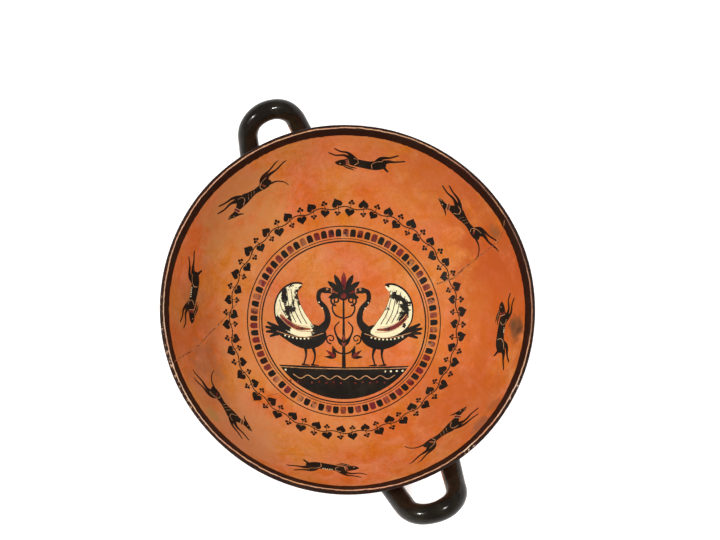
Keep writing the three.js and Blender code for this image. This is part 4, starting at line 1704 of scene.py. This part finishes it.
def white_finish(groups, painting):
    """White paint laid over the black and flaked away in patches."""
    material, tree = new_material("Added white")
    gloss = glossy(tree, groups, painting, 0.1)
    lumps = tree.noise(34, 2, 0.5, distortion=0.4)
    ragged = tree.noise(230, 4, 0.7)
    whole = tree.maths("ADD", lumps, tree.maths("MULTIPLY", tree.maths("SUBTRACT", ragged, 0.5), 0.3))
    left = tree.ramp(whole, 0.475, 0.49)
    crazing = tree.add("TexVoronoi", {"Vector": tree.place(), "Scale": 190}, feature="DISTANCE_TO_EDGE")
    cracks = tree.maths("MULTIPLY", tree.ramp(crazing.outputs["Distance"], 0.0, 0.035, 1, 0), 0.45)
    cracks = tree.maths("MULTIPLY", cracks, tree.ramp(tree.noise(60, 2), 0.45, 0.6))
    shade = tree.ramp(tree.noise(120, 4, 0.6), 0.3, 0.75, 0.0, 0.55)
    paint = tree.mix(shade, painting.white, tone(222, 212, 168))
    paint = tree.mix(cracks, paint, tone(118, 98, 66))
    body = tree.mix(left, gloss["Color"], paint)
    rough = tree.maths("MAXIMUM", gloss["Roughness"], tree.maths("MULTIPLY", left, 0.75))
    finish(tree, body, rough, left, 0.00012, 0.12, potted(tree, groups, 0.7, 0.8), 0.00008)
    return material


def purple_finish(groups, painting):
    """Purple-red paint, dull and partly worn to the black."""
    material, tree = new_material("Added red")
    gloss = glossy(tree, groups, painting, 0.2)
    left = tree.ramp(tree.noise(150, 4, 0.7), 0.36, 0.46)
    paint = fired(tree, groups, painting.purple, 1.2, 0.6)
    body = tree.mix(left, gloss["Color"], paint)
    rough = tree.maths("MAXIMUM", gloss["Roughness"], tree.maths("MULTIPLY", left, 0.62))
    finish(tree, body, rough, left, 0.00005, 0.12, potted(tree, groups, 0.7, 0.6), 0.00008)
    return material


def scratched_finish(groups, painting):
    """Lines scratched through the gloss to the clay, with some soil left in them."""
    material, tree = new_material("Scratched line")
    body = fired(tree, groups, tone(214, 158, 108), 1.0, 1.0)
    soil = tree.ramp(tree.noise(190, 3, 0.6), 0.45, 0.62, 0, 0.55)
    body = tree.mix(soil, body, tone(120, 78, 48))
    rough = tree.ramp(tree.noise(200, 2), 0.3, 0.7, 0.62, 0.78)
    finish(tree, body, rough, tree.noise(500, 2), 0.0001, 0.2)
    return material


def mended_finish(groups, painting):
    """Filler in the mended breaks: dull clay colour with a dark seam that comes and goes."""
    material, tree = new_material("Mended break")
    body = fired(tree, groups, tone(154, 90, 52), 1.6, 1.4)
    seam = tree.ramp(tree.noise(210, 4, 0.7), 0.46, 0.58, 0, 0.85)
    body = tree.mix(seam, body, tone(74, 46, 32))
    pale = tree.ramp(tree.noise(120, 3, 0.6), 0.56, 0.66, 0, 0.35)
    body = tree.mix(pale, body, tone(222, 168, 126))
    rough = tree.ramp(tree.noise(200, 2), 0.3, 0.7, 0.7, 0.85)
    finish(tree, body, rough, tree.noise(420, 3, 0.7), 0.0003, 0.2)
    return material


def make_finishes(painting):
    """Every material of the cup, in the order of its looks."""
    groups = {
        "hand": hand_group(), "firing": firing_group(), "gloss": gloss_group(),
        "soft_patch": patch_group(),
    }
    makers = {
        GROUND: ground_finish, LIP: lip_finish, OUTSIDE: outside_finish, FOOT: foot_finish,
        ROD: rod_finish, BLACK: black_finish, WHITE: white_finish, PURPLE: purple_finish,
        SCRATCHED: scratched_finish, MENDED: mended_finish,
    }
    return [makers[look](groups, painting) for look in sorted(makers)]


# ---------------------------------------------------------------------------------------------
# Operators, panel and start


class KYLIX_OT_build_cup(bpy.types.Operator):
    """Build the cup: its form, painting and wear as one closed mesh"""

    bl_idname = "kylix.build_cup"
    bl_label = "Build the cup"

    def execute(self, context):
        scene = context.scene
        skin, rod_numbers, rod_inner = build_cup(scene.kylix_shape, scene.kylix_painting)
        cup = make_object("kylix_cup", skin, {"into_loop": (rod_numbers, rod_inner)})
        for material in make_finishes(scene.kylix_painting):
            cup.data.materials.append(material)
        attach(cup, "root")
        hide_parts("kylix")
        return {"FINISHED"}


SENSOR_WIDTH = 36.0
# The lamps: direction from the rim's middle, distance and width in metres, and share of power.
LAMPS = [((-0.18, -0.62, 0.77), 1.6, 0.14, 1.0), ((0.06, 0.36, 0.93), 1.6, 0.14, 0.8)]


def place_camera(settings, target):
    """The camera looks down on the cup from azimuth and elevation and is then turned about its
    own axis. The rim's middle stands aim_right and aim_up from the middle of its view."""
    a, e, roll = settings.azimuth, settings.elevation, settings.roll
    back = Vector((math.sin(a) * math.cos(e), -math.cos(a) * math.cos(e), math.sin(e)))
    level = Vector((math.cos(a), math.sin(a), 0))
    upright = back.cross(level)
    right = math.cos(roll) * level + math.sin(roll) * upright
    up = -math.sin(roll) * level + math.cos(roll) * upright
    data = bpy.data.cameras.new("View")
    data.lens, data.sensor_width = settings.lens, SENSOR_WIDTH
    data.clip_start, data.clip_end = 0.05, 100
    camera = bpy.data.objects.new("View", data)
    axes = Matrix((right, up, back)).transposed().to_4x4()
    place = target + settings.distance * back - settings.aim_right * right - settings.aim_up * up
    camera.matrix_world = Matrix.Translation(place) @ axes
    bpy.context.scene.collection.objects.link(camera)
    bpy.context.scene.camera = camera


# The floor: its glow, its reach before it bends up, sides, radius of the bend, top of the wall.
FLOOR_GLOW = 0.55
FLOOR_REACH = 9.0
FLOOR_SIDES = 96
WALL_BEND, WALL_HEIGHT = 1.5, 3.0


def floor_finish(settings):
    """Pale matt floor with a faint unevenness, lit a little from within so that it stays light
    under the cup."""
    material, tree = new_material("Floor")
    body = tree.mix(tree.ramp(tree.noise(6, 3), 0.3, 0.7, 0, 0.1), settings.floor, tone(240, 240, 238))
    shader = tree.add("BsdfPrincipled", {"Roughness": 0.9, "Specular IOR Level": 0.1})
    shader.inputs["Emission Color"].default_value = (1, 1, 1, 1)
    shader.inputs["Emission Strength"].default_value = FLOOR_GLOW
    tree.link(body, shader.inputs["Base Color"])
    tree.add("OutputMaterial", {"Surface": shader.outputs["BSDF"]})
    return material


def backdrop():
    """A round floor that bends up into a low wall: a line of radius and height, flat, then a
    quarter circle, then upright, turned round the axis. Gives its points and faces."""
    bend = np.linspace(0, math.pi / 2, 13)
    quarter = np.column_stack([FLOOR_REACH + WALL_BEND * np.sin(bend), WALL_BEND * (1 - np.cos(bend))])
    line = np.vstack([quarter, [(FLOOR_REACH + WALL_BEND, WALL_HEIGHT)]])
    around = polar(1, full_turn(FLOOR_SIDES))
    rings = np.concatenate([
        line[:, None, :1] * around[None], np.broadcast_to(line[:, None, 1:], (len(line), FLOOR_SIDES, 1))
    ], axis=2)
    row = (np.arange(len(line) - 1) * FLOOR_SIDES)[:, None]
    here, there = np.arange(FLOOR_SIDES), (np.arange(FLOOR_SIDES) + 1) % FLOOR_SIDES
    wall = np.stack([row + here, row + there, row + FLOOR_SIDES + there, row + FLOOR_SIDES + here], axis=-1)
    return rings.reshape(-1, 3), [here.tolist(), *wall[:, :, ::-1].reshape(-1, 4).tolist()]


def place_floor(settings):
    """The floor, a part of the stage and not of the cup."""
    mesh = bpy.data.meshes.new("floor")
    points, faces = backdrop()
    mesh.from_pydata(points, [], faces)
    mesh.polygons.foreach_set("use_smooth", np.ones(len(faces), bool))
    mesh.materials.append(floor_finish(settings))
    floor = bpy.data.objects.new("floor", mesh)
    bpy.context.scene.collection.objects.link(floor)


def place_lamps(settings, target):
    """Soft round lamps that face the target."""
    for k, (way, distance, width, share) in enumerate(LAMPS):
        data = bpy.data.lights.new(f"Lamp {k + 1}", "AREA")
        data.shape, data.size = "DISK", width
        data.energy = settings.lamp * share
        lamp = bpy.data.objects.new(data.name, data)
        way = Vector(way).normalized()
        turned_to = (-way).to_track_quat("-Z", "Y").to_matrix().to_4x4()
        lamp.matrix_world = Matrix.Translation(target + way * distance) @ turned_to
        bpy.context.scene.collection.objects.link(lamp)


def set_daylight(settings):
    """Even white light from all round."""
    world = bpy.data.worlds.new("Daylight")
    world.use_nodes = True
    background = world.node_tree.nodes["Background"]
    background.inputs["Color"].default_value = (1, 1, 1, 1)
    background.inputs["Strength"].default_value = settings.daylight
    bpy.context.scene.world = world


class KYLIX_OT_set_stage(bpy.types.Operator):
    """Set a pale floor, soft lamps and the camera round the cup"""

    bl_idname = "kylix.set_stage"
    bl_label = "Set the stage"

    def execute(self, context):
        settings = context.scene.kylix_stage
        target = Vector((0, 0, CAD_BOX[1][2]))
        place_floor(settings)
        place_lamps(settings, target)
        set_daylight(settings)
        context.scene.view_settings.view_transform = "Standard"
        place_camera(settings, target)
        return {"FINISHED"}


class KYLIX_PT_panel(bpy.types.Panel):
    """The cup's steps and sizes"""

    bl_label = "Kylix"
    bl_space_type = "VIEW_3D"
    bl_region_type = "UI"
    bl_category = "Kylix"

    def draw(self, context):
        layout = self.layout
        for step in STEPS:
            layout.operator(step.bl_idname)
        for settings in (
            context.scene.kylix_shape, context.scene.kylix_painting, context.scene.kylix_stage
        ):
            box = layout.box()
            for name in settings.__annotations__:
                box.prop(settings, name)


SETTINGS = {"kylix_shape": KylixShape, "kylix_painting": KylixPainting, "kylix_stage": KylixStage}
STEPS = (KYLIX_OT_build_cup, KYLIX_OT_set_stage)


def register():
    for kind in (*SETTINGS.values(), *STEPS, KYLIX_PT_panel):
        bpy.utils.register_class(kind)
    for name, kind in SETTINGS.items():
        setattr(bpy.types.Scene, name, PointerProperty(type=kind))


def unregister():
    for name in SETTINGS:
        delattr(bpy.types.Scene, name)
    for kind in reversed((*SETTINGS.values(), *STEPS, KYLIX_PT_panel)):
        bpy.utils.unregister_class(kind)


def main():
    """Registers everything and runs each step."""
    register()
    bpy.ops.kylix.build_cup()
    bpy.ops.kylix.set_stage()
    bpy.context.view_layer.update()


if __name__ == "__main__":
    main()
